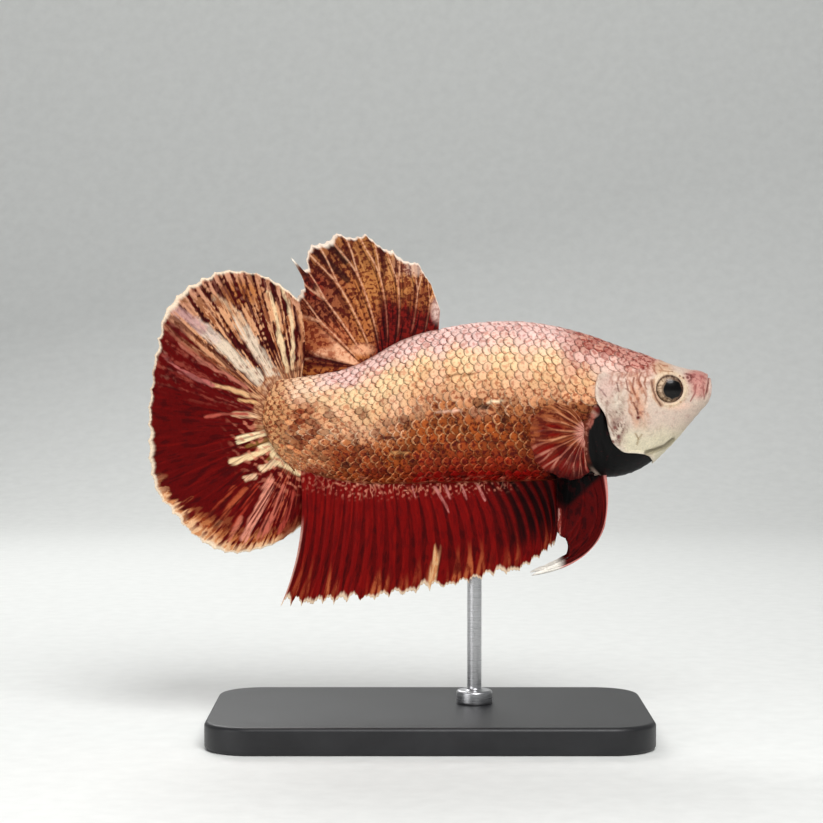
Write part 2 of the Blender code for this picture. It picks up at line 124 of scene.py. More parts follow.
# The cover's edge in section, behind and below its rim: round the rim, in under the cover and out again
EDGE_FOLD = (
    (0.05, -0.02),
    (0.09, -0.08),
    (0.1, -0.15),
    (0.05, -0.22),
    (-0.08, -0.27),
    (-0.3, -0.32),
    (-0.5, -0.38),
    (-0.55, -0.46),
    (-0.45, -0.52),
    (-0.2, -0.53),
    (0.1, -0.5),
)
EDGE_ROWS = 4  # of the fold that go round the rim, before it turns black
COVER_PROUD = 0.15  # how far the gill cover rises towards its free edge
FACE_DEPTH = 0.04  # of the head's skin under the body's surface
SKIN_DEPTH = 0.2  # of the skin under the tips of the scales
MEMBRANE_ARCH, MEMBRANE_RUFFLE = 0.12, 0.07  # how high the gill membrane bulges and ripples
SHOULDER_HEIGHT, SHEATH_HEIGHT = 0.12, 0.16  # of the folds behind the membrane and along the fins' roots
# The solids that the skin covers
FLESH = ("head", "lower_jaw", "gill_cover_right", "gill_cover_left", "gill_membrane", "trunk", "tail_stem")

EYE_CENTRE = (26.0, 2.4, 1.22)
EYE_SIZE = (1.55, 0.85, 1.55)
EYE_ROWS, EYE_COLUMNS = 60, 120
PUPIL = (26.3, 1.2)
MOUTH = ((30.12, 0.22), (30.67, 2.85))  # the slit's lower end and its top
FRONT_NOSTRIL = (28.6, 2.55)
REAR_NOSTRIL = (27.62, 2.42)
HINGE = (22.4, 2.4)  # of the gill cover, where its ribs meet
EYE_FOLD = ((24.1, 2.1), (24.2, 1.1), (24.6, 0.1), (25.05, -0.5))
CHEEK_LINE = (
    (21.7, 3.3),
    (21.95, 2.2),
    (22.1, 1.2),
    (22.3, 0.2),
    (22.5, -0.8),
    (22.5, -1.6),
    (22.9, -2.4),
    (23.6, -3.4),
)
THROAT_LINE = ((23.6, -5.7), (24.6, -5.45), (25.7, -5.1), (26.6, -4.35))

# Dark lines of the head: points, width, colour and strength
HEAD_LINES = (
    (EYE_FOLD, 0.7, (172, 126, 100), 0.6),
    (EYE_FOLD, 0.24, (98, 56, 40), 0.8),
    (((30.67, 2.9), (30.5, 1.9), (30.3, 0.9), (30.0, 0.1)), 0.22, (120, 62, 54), 0.9),
    (((29.0, 1.7), (28.9, 0.8), (28.4, -0.1)), 0.24, (150, 88, 82), 0.85),
    (((29.8, 1.6), (29.85, 0.8), (29.95, 0.1)), 0.18, (142, 78, 72), 0.75),
    (((22.1, 2.5), (21.9, 1.5), (22.2, 0.7)), 0.24, (124, 66, 46), 0.85),
    (((21.2, 2.3), (21.4, 1.3)), 0.2, (116, 60, 46), 0.8),
    (((21.2, 1.3), (21.9, 0.7)), 0.2, (116, 60, 46), 0.8),
    (((22.6, 0.3), (22.4, -0.7)), 0.24, (130, 74, 48), 0.75),
    (((22.4, -0.8), (22.5, -1.4)), 0.28, (86, 34, 26), 0.9),
    (((23.1, 1.1), (23.4, 0.4), (23.3, -0.3)), 0.2, (150, 98, 72), 0.7),
    (((18.1, 1.5), (18.6, 1.0), (19.1, 0.4)), 0.16, (130, 96, 92), 0.8),
    (((19.15, 0.0), (19.0, -1.3), (19.2, -2.4), (19.8, -3.4)), 0.2, (132, 98, 84), 0.75),
    (((20.2, 1.9), (20.4, 1.0)), 0.22, (112, 72, 62), 0.85),
    (((22.3, -3.6), (22.6, -4.2), (22.5, -4.8)), 0.26, (140, 112, 76), 0.7),
    (((22.6, -4.2), (23.0, -3.7)), 0.24, (140, 112, 76), 0.7),
    # Along the throat line, below the gill cover's edge: a broad band and a thin line of painted shade
    (THROAT_LINE, 0.8, (128, 118, 92), 0.7),
    (THROAT_LINE, 0.34, (98, 88, 64), 0.4),
    (((22.9, 3.0), (22.6, 2.2), (22.9, 1.6)), 0.24, (132, 74, 54), 0.8),
    (((21.5, 3.2), (21.0, 2.5)), 0.24, (150, 100, 84), 0.7),
    (((20.6, 2.9), (20.3, 2.2)), 0.2, (150, 104, 90), 0.7),
    (((23.4, 2.5), (23.2, 1.8), (23.5, 1.2)), 0.2, (140, 90, 66), 0.7),
    (((22.0, -0.2), (22.3, -0.9)), 0.3, (112, 48, 34), 0.8),
    (((21.7, 0.4), (21.8, -0.3)), 0.22, (150, 84, 56), 0.75),
    (((24.9, 3.9), (25.4, 3.2), (26.2, 3.1)), 0.2, (158, 108, 76), 0.7),
    (((24.2, 3.6), (24.6, 2.9)), 0.22, (150, 92, 66), 0.7),
    (((28.0, 2.9), (28.4, 2.7), (28.5, 2.3), (28.2, 2.1)), 0.26, (104, 52, 48), 0.75),
)
# Dark spots of the head: centre, half sizes and colour
HEAD_SPOTS = (
    ((28.1, 2.5), (0.26, 0.26), (112, 60, 56)),
    (REAR_NOSTRIL, (0.17, 0.17), (104, 56, 50)),
    ((22.55, -1.85), (0.34, 0.32), (84, 6, 8)),
    ((26.4, 3.1), (0.16, 0.14), (132, 84, 60)),
    ((27.2, 2.6), (0.16, 0.16), (140, 84, 70)),
    ((20.0, -2.9), (0.3, 0.3), (120, 70, 62)),
    ((20.4, -3.9), (0.34, 0.4), (104, 60, 56)),
    ((19.8, -4.4), (0.3, 0.26), (120, 78, 70)),
    ((23.2, 3.6), (0.26, 0.4), (116, 34, 30)),
    ((23.7, 3.9), (0.24, 0.3), (128, 44, 38)),
)

# Scales: rows from the belly to the back, the pitch along a row at the head and at the tail, and how far
# behind the snout the first and the last ones may stand
SCALE_ROWS = 22
PITCH_FRONT, PITCH_REAR = 1.12, 0.82
SCALES_FROM, SCALES_TO = 4.9, BODY_END + 0.4
# A scale's width, as a share of the space between rows, and its length, as a share of the pitch
SCALE_WIDTH, SCALE_LENGTH = 1.66, 2.0
# Heights over the body's surface: a scale's root, its rise to the free end, its crown and its underside
SCALE_ROOT, SCALE_RISE, SCALE_CROWN, SCALE_UNDER = -0.23, 0.155, 0.012, -0.27
# Angle round the body, and how far behind the snout its scales begin
SCALE_FRONT = (
    (-90, 13.0),
    (-70, 13.7),
    (-60, 14.5),
    (-30, 15.0),
    (-10, 14.8),
    (-3, 13.6),
    (3, 13.1),
    (28, 13.0),
    (31, 12.6),
    (34, 10.6),
    (38, 8.8),
    (46, 7.6),
    (60, 6.7),
    (90, 6.1),
)
SCALE_GRID = 7  # points along each way over a scale
BAKE_PATCH = 0.003  # one scale's side on the bake map
# Where the middle fins' roots leave no room for the row of scales along the back and along the belly
DORSAL_ROOT, ANAL_ROOT = (-9.8, 1.4), (-13.6, 14.8)

# Fin rays, from the first to the last: root x and z, tip x and z, and how far the ray bows forwards
ON_BODY = None
DORSAL_RAYS = (
    (1.0, ON_BODY, 1.15, 9.9, 0.0),
    (-0.5, ON_BODY, 0.2, 12.7, 0.1),
    (-2.1, ON_BODY, -1.25, 15.1, 0.3),
    (-3.6, ON_BODY, -4.1, 16.5, 0.5),
    (-4.6, ON_BODY, -7.0, 18.25, 0.7),
    (-5.4, ON_BODY, -10.3, 18.45, 0.7),
    (-6.2, ON_BODY, -13.1, 17.0, 0.6),
    (-6.9, ON_BODY, -14.4, 14.5, 0.3),
    (-7.5, ON_BODY, -14.8, 11.0, 0.2),
    (-8.2, ON_BODY, -14.6, 5.4, 0.0),
    (-9.6, ON_BODY, -14.4, 2.1, 0.0),
)
CAUDAL_RAYS = (
    (-13.9, 3.2, -14.3, 11.0, 0.45),
    (-15.6, 2.95, -18.4, 13.8, -0.2),
    (-17.1, 1.6, -23.8, 13.95, -0.2),
    (-17.95, 0.0, -28.6, 10.4, 0.0),
    (-18.25, -1.4, -30.3, 4.2, 0.0),
    (-18.15, -2.8, -31.0, -2.7, 0.0),
    (-17.7, -4.2, -30.5, -9.2, 0.0),
    (-16.85, -5.6, -27.1, -14.0, 0.0),
    (-15.8, -6.9, -22.8, -16.9, 0.0),
    (-14.95, -7.9, -18.1, -16.4, 0.1),
    (-14.0, -8.45, -13.95, -14.0, 0.15),
)
ANAL_RAYS = (
    (14.5, ON_BODY, 13.7, -16.0, 0.3),
    (11.0, ON_BODY, 13.1, -16.7, 0.7),
    (7.7, ON_BODY, 10.4, -18.7, 0.9),
    (4.4, ON_BODY, 6.6, -19.7, 0.9),
    (1.2, ON_BODY, 2.8, -20.6, 0.8),
    (-2.1, ON_BODY, -1.3, -21.4, 0.6),
    (-5.4, ON_BODY, -5.5, -22.0, 0.5),
    (-8.2, ON_BODY, -9.8, -22.5, 0.4),
    (-11.1, ON_BODY, -13.2, -22.7, 0.5),
    (-14.2, ON_BODY, -16.4, -22.9, 1.0),
)
PELVIC_RAYS = (
    (19.4, -8.5, 11.1, -19.2, 3.4),
    (18.6, -8.7, 12.6, -18.5, 3.0),
    (17.6, -8.7, 15.0, -17.4, 1.8),
    (16.6, -8.7, 15.1, -15.6, 0.8),
    (15.4, -8.7, 14.2, -14.8, 0.2),
    (14.0, -8.7, 13.8, -13.0, 0.0),
)
PECTORAL_RAYS = (
    (16.5, -2.5, 14.6, -0.3, 0.2),
    (16.4, -2.8, 12.7, -0.3, 0.2),
    (16.3, -3.1, 11.0, -1.7, 0.1),
    (16.3, -3.4, 10.6, -4.2, 0.0),
    (16.3, -3.7, 11.5, -6.8, -0.1),
    (16.4, -4.0, 13.6, -8.2, -0.1),
    (16.5, -4.3, 15.6, -8.5, -0.2),
    (16.7, -4.6, 17.1, -7.6, -0.2),
)
# Pale streaks of the tail fin: points, width, colour and strength
CAUDAL_STREAKS = (
    (((-17.3, 0.9), (-19.1, 2.7), (-20.8, 4.2), (-23.0, 6.25), (-24.6, 7.7)), 1.8, (216, 194, 170), 1.0),
    (((-23.4, 6.6), (-24.6, 7.7), (-25.6, 8.4)), 1.7, (208, 184, 170), 0.8),
    (((-24.9, 7.8), (-26.5, 9.0), (-28.3, 10.1)), 1.5, (186, 142, 136), 0.85),
    (((-16.8, 2.2), (-17.8, 3.9), (-19.0, 5.6), (-20.0, 7.2), (-21.0, 8.9)), 1.7, (216, 192, 168), 1.0),
    (((-20.4, 8.4), (-21.6, 9.9), (-23.4, 11.2)), 1.1, (206, 166, 132), 0.9),
    (((-15.6, 3.2), (-16.2, 6.0), (-16.8, 9.2), (-17.6, 11.8)), 0.75, (226, 194, 152), 0.85),
    (((-15.0, 3.4), (-14.9, 7.0), (-15.4, 10.6), (-16.6, 12.9)), 0.6, (222, 190, 150), 0.8),
    (((-14.2, 3.6), (-14.0, 7.0), (-14.5, 10.4)), 0.5, (176, 112, 76), 0.5),
    (((-18.6, 0.3), (-19.9, 0.5), (-21.9, 1.2), (-23.9, 1.7)), 0.6, (214, 166, 120), 0.85),
    (((-23.7, 1.6), (-25.7, 2.4), (-27.4, 3.3), (-29.0, 4.9)), 0.6, (174, 94, 88), 0.9),
    (((-20.0, 1.4), (-22.6, 2.9), (-25.0, 4.2), (-27.4, 6.2)), 0.55, (176, 102, 84), 0.8),
    (((-17.3, -0.8), (-19.1, -0.3), (-20.8, 0.0)), 0.6, (212, 164, 112), 0.85),
    (((-17.0, -1.9), (-20.2, -1.65), (-21.6, -1.6)), 0.8, (228, 182, 142), 0.9),
    (((-20.0, -1.6), (-22.4, -1.5), (-24.6, -1.9)), 0.5, (168, 78, 64), 0.8),
    (((-17.3, -4.3), (-19.9, -5.1)), 0.7, (116, 80, 36), 0.85),
    (((-17.0, -6.1), (-18.0, -6.7)), 0.6, (116, 80, 36), 0.8),
    (((-17.2, -2.6), (-18.8, -3.0)), 0.6, (124, 84, 44), 0.8),
    (((-17.2, -3.45), (-19.0, -3.85), (-20.9, -4.45)), 1.15, (234, 210, 166), 1.0),
    (((-17.0, -5.3), (-18.9, -5.9), (-21.7, -6.9)), 0.95, (230, 198, 152), 1.0),
    (((-17.6, -4.9), (-18.6, -5.3)), 0.8, (234, 210, 166), 1.0),
    (((-17.0, -6.9), (-18.3, -7.6)), 1.0, (230, 194, 154), 0.95),
    (((-19.2, -8.4), (-20.2, -8.7)), 0.8, (220, 178, 142), 0.9),
    (((-17.2, -5.9), (-16.2, -7.1), (-14.4, -7.9)), 0.95, (232, 206, 160), 1.0),
    (((-17.5, -9.0), (-18.6, -11.8), (-20.3, -15.3)), 1.4, (214, 136, 114), 0.95),
    (((-16.2, -9.7), (-17.2, -12.4), (-18.7, -15.3)), 1.1, (186, 96, 78), 0.9),
    (((-15.0, -10.2), (-15.6, -12.6), (-16.6, -14.6)), 0.7, (160, 60, 48), 0.8),
    (((-20.2, -9.8), (-21.8, -11.6), (-23.2, -13.6)), 0.9, (164, 74, 44), 0.75),
    (((-21.4, -9.6), (-23.0, -11.4), (-24.4, -13.0)), 0.6, (150, 56, 32), 0.7),
    (((-18.9, -9.4), (-20.4, -12.0), (-21.6, -14.4)), 0.8, (150, 44, 28), 0.8),
    (((-20.7, -13.0), (-22.0, -15.4)), 0.8, (186, 104, 82), 0.75),
    (((-23.0, -13.4), (-24.4, -15.0)), 0.7, (210, 150, 104), 0.7),
)
# Pink streaks of the anal fin under its root
ANAL_STREAKS = (
    ((0.6, -9.6), (1.3, -10.8), (2.2, -12.3)),
    ((1.7, -9.5), (2.3, -10.8)),
    ((3.6, -9.5), (4.0, -10.9)),
    ((5.3, -9.4), (6.1, -11.0)),
    ((-1.9, -9.6), (-1.5, -10.6)),
)
# Deep red windows of the pectoral fins: centre and half sizes
PECTORAL_WINDOWS = (((13.1, -3.1), (2.0, 1.2)), ((12.6, -5.2), (2.6, 1.2)), ((12.6, -6.5), (2.2, 0.9)))
# How far a paired fin stands out at its root, and how much further at its edge
PELVIC_STANCE = (0.75, 0.9)
PECTORAL_STANCE = (0.65, 0.9)
ROOT_SINK = 0.1  # of the middle fins' roots under the back and the belly

# Dashes of the flank: points, width and colour
FLANK_MARKS = (
    (((5.5, -0.65), (6.3, -0.62)), 0.7, (30, 4, 4)),
    (((6.2, -0.05), (7.8, 0.0)), 0.36, (236, 214, 178)),
    (((1.8, 2.55), (3.1, 2.8), (4.6, 2.9)), 0.3, (128, 80, 44)),
    (((2.9, -4.5), (4.6, -4.45)), 0.42, (86, 14, 8)),
    (((5.8, -4.4), (8.2, -4.5)), 0.42, (80, 12, 8)),
    (((-4.3, -5.7), (-2.4, -5.75)), 0.36, (202, 142, 88)),
    (((0.8, -1.2), (3.2, -1.1)), 0.34, (224, 176, 150)),
    (((-5.2, -4.0), (-3.9, -4.1)), 0.5, (70, 8, 6)),
)
# Soft patches of the flank and of the head: centre, half sizes, strength, ground, flecks, their share and
# the rims of the scales, where None keeps what is there
FLANK_PATCHES = (
    ((-12.3, -7.9), (1.8, 1.0), 0.7, (142, 40, 22), (98, 14, 8), None, (176, 92, 66)),
    ((-5.4, -7.9), (2.4, 1.1), 0.7, (118, 20, 9), (82, 6, 4), None, (160, 60, 36)),
    ((-1.0, -1.1), (1.9, 1.1), 0.7, (226, 172, 132), (186, 122, 84), 0.36, None),
    ((5.7, -1.3), (1.9, 1.0), 0.55, (206, 150, 118), (160, 96, 64), 0.36, None),
    ((-7.8, -6.2), (4.4, 1.9), 0.5, (128, 50, 20), (84, 16, 7), None, (184, 110, 68)),
    ((-16.9, -5.6), (1.4, 1.2), 0.6, (228, 184, 132), (190, 130, 84), 0.36, None),
)
HEAD_PATCHES = (
    ((17.6, 4.6), (2.2, 1.0), 0.6, (234, 194, 182), (200, 144, 132), 0.36),
    ((19.8, 3.9), (2.4, 1.2), 0.8, (238, 200, 186), (204, 148, 134), 0.36),
    ((25.3, 3.5), (1.7, 1.2), 1.0, (202, 164, 136), (172, 120, 92), 0.42),
    ((29.2, 2.5), (2.1, 1.3), 0.9, (182, 118, 110), (146, 76, 72), 0.45),
    ((29.4, 1.3), (1.5, 1.6), 0.9, (190, 132, 122), (160, 96, 88), 0.4),
    ((30.8, 0.8), (0.4, 1.7), 0.9, (234, 206, 194), (214, 176, 162), 0.3),
    ((27.0, -0.6), (2.0, 0.7), 0.7, (226, 188, 168), (204, 150, 132)),
)

# Colours, as red, green and blue from 0 to 255
PINK = (212, 150, 136)
PALE_PINK = (222, 178, 162)
BROWN = (92, 44, 22)
DARK_BROWN = (52, 20, 10)
BLACK = (3, 2, 2)
RED_BLACK = (26, 2, 3)

# The flank's colours upwards from the belly: heights between which each one takes over from the one
# below it, its ground, its flecks and their share, and the rims of its scales. Behind the middle of the
# body they stand lower by the drop
FLANK = (
    (-8.1, -7.0, (142, 44, 17), (96, 11, 5), 0.42, (186, 96, 58)),
    (-6.7, -5.4, (146, 62, 24), (94, 20, 8), 0.44, (202, 124, 76)),
    (-5.4, -3.8, (150, 70, 24), (92, 28, 8), 0.42, (214, 148, 100)),
    (-2.6, -0.9, (174, 106, 62), (108, 46, 24), 0.42, (230, 174, 136)),
    (-0.7, 0.5, (212, 156, 116), (158, 92, 60), 0.4, (232, 188, 152)),
    (0.9, 2.3, (226, 178, 132), (192, 128, 88), 0.36, (172, 110, 74)),
    (2.6, 4.4, (232, 198, 152), (212, 156, 116), 0.36, (154, 96, 64)),
)
FLANK_DROP = 3.1


# ---------------------------------------------------------------- curves and the body's surface


def smooth(keys, values, places):
    """A cubic through (keys, values), read at the places; each tangent follows both neighbours."""
    keys, values, places = (np.asarray(v, float) for v in (keys, values, places))
    step = np.diff(keys)
    slope = np.diff(values) / step
    tangent = np.empty_like(values)
    tangent[1:-1] = (slope[:-1] * step[1:] + slope[1:] * step[:-1]) / (step[1:] + step[:-1])
    tangent[0] = 1.5 * slope[0] - 0.5 * tangent[1]
    tangent[-1] = 1.5 * slope[-1] - 0.5 * tangent[-2]
    i = np.clip(np.searchsorted(keys, places) - 1, 0, len(step) - 1)
    u = (places - keys[i]) / step[i]
    through = (2 * u**3 - 3 * u**2 + 1) * values[i] + (3 * u**2 - 2 * u**3) * values[i + 1]
    bend = (u**3 - 2 * u**2 + u) * tangent[i] + (u**3 - u**2) * tangent[i + 1]
    return through + bend * step[i]


def read_table(table, places):
    """The second column of a table, read smoothly by its first."""
    keys, values = zip(*table, strict=True)
    return smooth(keys, values, places)


def ease(value, low, high):
    """0 below low, 1 above high, and a smooth step between."""
    u = np.clip((value - low) / (high - low), 0, 1)
    return u * u * (3 - 2 * u)


def bell(value, width):
    """1 at 0, falling as a bell curve of this width."""
    return np.exp(-((value / width) ** 2))


def mixed(first, second, share):
    """From the first at share 0 to the second at 1."""
    return first + (second - first) * share


def ripple(u, v, size, seed, waves=9):
    """A wandering value between about -1 and 1: waves of about this size in random directions, added."""
    random = np.random.default_rng(seed)
    total = 0.0
    for direction, stretch, phase in random.uniform(0, 1, (waves, 3)):
        turn = 2 * math.pi * direction
        rate = 2 * math.pi / (size * mixed(0.7, 1.6, stretch))
        total = total + np.sin((u * math.cos(turn) + v * math.sin(turn)) * rate + 2 * math.pi * phase)
    return total / math.sqrt(waves)


def profile(behind, column):
    """One column of BODY at distances behind the snout. Their roots as keys keep the snout round."""
    keys = np.sqrt([section[0] for section in BODY.values()])
    values = [section[column] for section in BODY.values()]
    return smooth(keys, values, np.sqrt(np.maximum(behind, 0)))


def body_point(behind, angle):
    """The body's surface. The angle goes round the right side, from the belly at -90 degrees to the back
    at 90, and on round the left side. Each section is two half ellipses, the lower one keeled. Behind the
    tail root the last section moves on rearwards and its width closes as a quarter of an ellipse."""
    behind, angle = np.broadcast_arrays(np.asarray(behind, float), np.asarray(angle, float))
    past = np.maximum(behind - BODY_END, 0)
    inside = np.minimum(behind, BODY_END)
    top, bottom, width, middle = (profile(inside, c) for c in (TOP, BOTTOM, HALF_WIDTH, WIDEST))
    width = width * np.sqrt(np.maximum(1 - (past / TAIL_FLESH) ** 2, 0.003))
    up, side = np.sin(angle), np.cos(angle)
    height = np.where(up > 0, top - middle, middle - bottom) * up
    across = width * np.sign(side) * np.abs(side) ** np.where(up > 0, 1, KEEL)
    sweep = TAIL_SWEEP * (1 - up**2) + TAIL_TILT * up
    lengthwise = SNOUT_X - behind - ease(inside, TAIL_SWEEP_FROM, BODY_END) * sweep
    return np.stack([lengthwise, -across, middle + height], -1)


def outwards(behind, angle):
    """Unit normals of the body's surface, from two small steps over it."""
    rearwards = body_point(behind + SMALL_STEP, angle) - body_point(behind - SMALL_STEP, angle)
    around = body_point(behind, angle + SMALL_STEP) - body_point(behind, angle - SMALL_STEP)
    normal = np.cross(around, rearwards)
    return normal / np.maximum(np.linalg.norm(normal, axis=-1, keepdims=True), 1e-12)


def on_flank(x, z):
    """Distance behind the snout and angle of the place on the right flank that shows at (x, z)."""
    behind = SNOUT_X - x
    top, bottom, middle = (profile(behind, c) for c in (TOP, BOTTOM, WIDEST))
    half = np.where(z > middle, top - middle, middle - bottom)
    return behind, np.arcsin(np.clip((z - middle) / half, -1, 1))


def tilt_of(angle):
    """The angle folded onto one side, in degrees from the belly at -90 to the back at 90."""
    return np.degrees(np.arcsin(np.clip(np.sin(angle), -1, 1)))


def scale_front(tilt):
    """How far behind the snout the scales begin, by the angle round the body."""
    return np.interp(tilt, *zip(*SCALE_FRONT, strict=True))


def from_eye(x, z):
    """Distance from the eye's middle in side view."""
    return np.hypot(x - EYE_CENTRE[0], z - EYE_CENTRE[2])


def round_hinge(x, z):
    """Distance from the gill cover's hinge in side view, and the direction from it as an angle."""
    return np.hypot(x - HINGE[0], z - HINGE[1]), np.arctan2(z - HINGE[1], x - HINGE[0])


# ---------------------------------------------------------------- masks and paint


def stroke(x, z, points, width):
    """1 along a line through the points, and 0 from half a width beside it."""
    nearest = np.full(np.shape(x), np.inf)
    ends = np.array(points, float)
    for start, end in zip(ends[:-1], ends[1:], strict=True):
        run = end - start
        share = np.clip(((x - start[0]) * run[0] + (z - start[1]) * run[1]) / (run @ run), 0, 1)
        nearest = np.minimum(nearest, np.hypot(x - start[0] - share * run[0], z - start[1] - share * run[1]))
    return 1 - ease(nearest, 0.25 * width, 0.5 * width)


def spot(x, z, centre, size):
    """1 at a centre, falling to 0 at the rim of an ellipse of these half sizes."""
    return 1 - ease(np.hypot((x - centre[0]) / size[0], (z - centre[1]) / size[1]), 0.3, 1)


def linear(colour):
    """Linear light from a colour written as 0 to 255."""
    share = np.array(colour, float) / 255
    return np.where(share > 0.04045, ((share + 0.055) / 1.055) ** 2.4, share / 12.92)


class Paint:
    """Colours at a piece's points: a ground, the flecks on it, the share that they cover, and the edge that
    a scale has round its free end. Places are given in side view."""

    def __init__(self, x, z, ground, fleck, share, edge=BROWN):
        self.x, self.z = x, z
        self.colours = {}
        for name, colour in (("ground", ground), ("fleck", fleck), ("edge", edge)):
            self.colours[name] = np.ones((*np.shape(x), 3)) * linear(colour)
        self.share = np.full(np.shape(x), float(share))

    def wash(self, mask, ground=None, fleck=None, share=None, edge=None):
        """Moves the named colours and the share towards new ones by a mask from 0 to 1."""
        mask = np.clip(mask, 0, 1)
        for name, colour in (("ground", ground), ("fleck", fleck), ("edge", edge)):
            if colour is not None:
                self.colours[name] = mixed(self.colours[name], linear(colour), mask[..., None])
        if share is not None:
            self.share = mixed(self.share, share, mask)

    def line(self, points, width, colour, strength):
        """A stroke of one colour over ground, flecks and edges."""
        mask = strength * stroke(self.x, self.z, points, width)
        self.wash(mask, ground=colour, fleck=colour, edge=colour)

    def dab(self, centre, size, strength=1.0, ground=None, fleck=None, share=None, edge=None):
        """A soft spot of new colours."""
        self.wash(strength * spot(self.x, self.z, centre, size), ground, fleck, share, edge)


def flank_height(x, z):
    """Height as the bands of the flank read it: they stand lower by the drop behind the middle."""
    return z + FLANK_DROP * ease(-x, 0.0, 4.0)


def under_gills(z, behind):
    """1 on the throat between the gill covers and behind it, and 0 on the chin."""
    return ease(-z, 6.2, 7.4) * ease(behind, 10.8, 11.6)


def body_paint(x, z, behind):
    """The fish's markings, for skin and scales alike, from side view places and distances behind the snout:
    the bands of FLANK under pale clouds, rose along the back, a mottled nape, brown under the rear flank, a
    mottled tail stem with a tan end, soft patches, a dark breast and a black belly."""
    top, bottom = (profile(np.minimum(behind, BODY_END), c) for c in (TOP, BOTTOM))
    height = flank_height(x, z) + 1.0 * ease(-x, 4.0, 6.5) * (1 - ease(-x, 10.5, 12.5))
    height = height + 0.3 * ripple(x, z, 4, 1)
    paint = Paint(x, z, (136, 9, 5), (76, 3, 2), 0.35, edge=(160, 36, 20))
    for low, high, ground, fleck, share, edge in FLANK:
        paint.wash(ease(height, low, high), ground, fleck, share, edge)
    cloud = ease(ripple(x, z, 3.2, 4), -0.2, 1.0) * ease(height, 0.5, 2.5)
    paint.wash(0.6 * cloud, ground=(230, 182, 150), fleck=(208, 150, 122))
    level = (z - bottom) / (top - bottom) + 0.03 * ripple(x, z, 3, 7)
    back = ease(level, 0.78, 0.93)
    paint.wash(back, ground=(230, 192, 182), fleck=(200, 146, 136), share=0.4, edge=(150, 88, 76))
    nape = ease(x, 13.5, 17.5) * ease(level - 0.012 * (x - 17), 0.66, 0.86)
    paint.wash(nape, ground=(198, 140, 122), fleck=(148, 72, 60), share=0.4, edge=(150, 84, 70))
    patches = nape * ease(ripple(x, z, 1.3, 17), -0.1, 0.7)
    paint.wash(0.8 * patches, ground=(164, 92, 82), fleck=(136, 62, 52), edge=(136, 66, 56))
    under = ease(-x, 4.0, 8.0) * ease(-z, 4.2, 5.8)
    paint.wash(0.75 * under, ground=(154, 70, 30), fleck=(100, 26, 10), edge=(206, 138, 92))
    rear = ease(-x, 10.0, 13.5)
    stem = rear * (1 - ease(level, 0.62, 0.84))
    paint.wash(stem, ground=(200, 134, 92), fleck=(148, 78, 46), share=0.38, edge=(238, 194, 156))
    cells = ease(ripple(x, z, 1.5, 16), -0.45, 0.25)
    paint.wash(0.9 * stem * cells, ground=(132, 56, 24), fleck=(98, 28, 12), edge=(216, 152, 116))
    paint.wash(rear * ease(level, 0.66, 0.9), ground=(234, 196, 164), fleck=(212, 162, 128), share=0.35)
    end = ease(-x, 13.8, 16.2)
    paint.wash(0.85 * end, ground=(202, 146, 98), fleck=(142, 74, 42), share=0.42, edge=(126, 58, 34))
    corner = ease(-x, 9.5, 12.0) * ease(-z, 4.0, 5.6)
    paint.wash(0.6 * corner, ground=(204, 136, 88), fleck=(164, 84, 48), share=0.36, edge=(226, 168, 122))
    for patch in FLANK_PATCHES:
        paint.dab(*patch)
    blots = ease(ripple(x, z, 2.2, 11), 0.35, 0.9) * ease(-z, -0.6, 1.0)
    paint.wash(0.5 * blots, ground=(96, 30, 12), fleck=(60, 10, 5))
    breast = ease(x + 0.25 * z, 9.0, 12.0) * ease(-z, 0.6, 2.4)
    paint.wash(breast, ground=(112, 34, 16), fleck=(76, 10, 6), share=0.45, edge=(158, 84, 56))
    paint.wash(ease(x, 12.8, 14.2) * ease(-z, 6.6, 7.8), ground=BLACK, fleck=RED_BLACK, edge=BLACK)
    belly = under_gills(z, behind) * ease(x, 12.8, 14.2)
    paint.wash(belly, ground=BLACK, fleck=RED_BLACK, edge=BLACK)
    return paint


def net(x, z):
    """1 on the lines of a broken network and 0 in its meshes: where a wandering value passes 0."""
    lines = 1 - ease(np.abs(ripple(x, z, 1.1, 55)), 0.1, 0.32)
    return lines * ease(ripple(x, z, 2.2, 56), -0.5, 0.3)


def scale_rims(x, z, pitch):
    """1 on the rims of discs in staggered rows, which stand a pitch apart, and 0 inside them."""
    row = np.floor(z / pitch)
    along = x / pitch + 0.5 * row
    away = np.hypot(along - np.round(along), z / pitch - row - 0.5)
    return bell(away - 0.5, 0.13)


def add_flank_marks(paint):
    """Short dark and pale dashes along the flank and a pink network over the anal fin's root, at the points'
    own places."""
    for points, width, colour in FLANK_MARKS:
        paint.line(points, width, colour, 0.85)
    hem = ease(-paint.z, 8.0, 8.8) * (1 - ease(paint.x, 9.0, 12.0)) * ease(paint.x, -14.0, -12.0)
    pink = (206, 130, 100)
    paint.wash(0.7 * hem * net(paint.x, paint.z), ground=pink, fleck=(170, 88, 64), edge=pink)


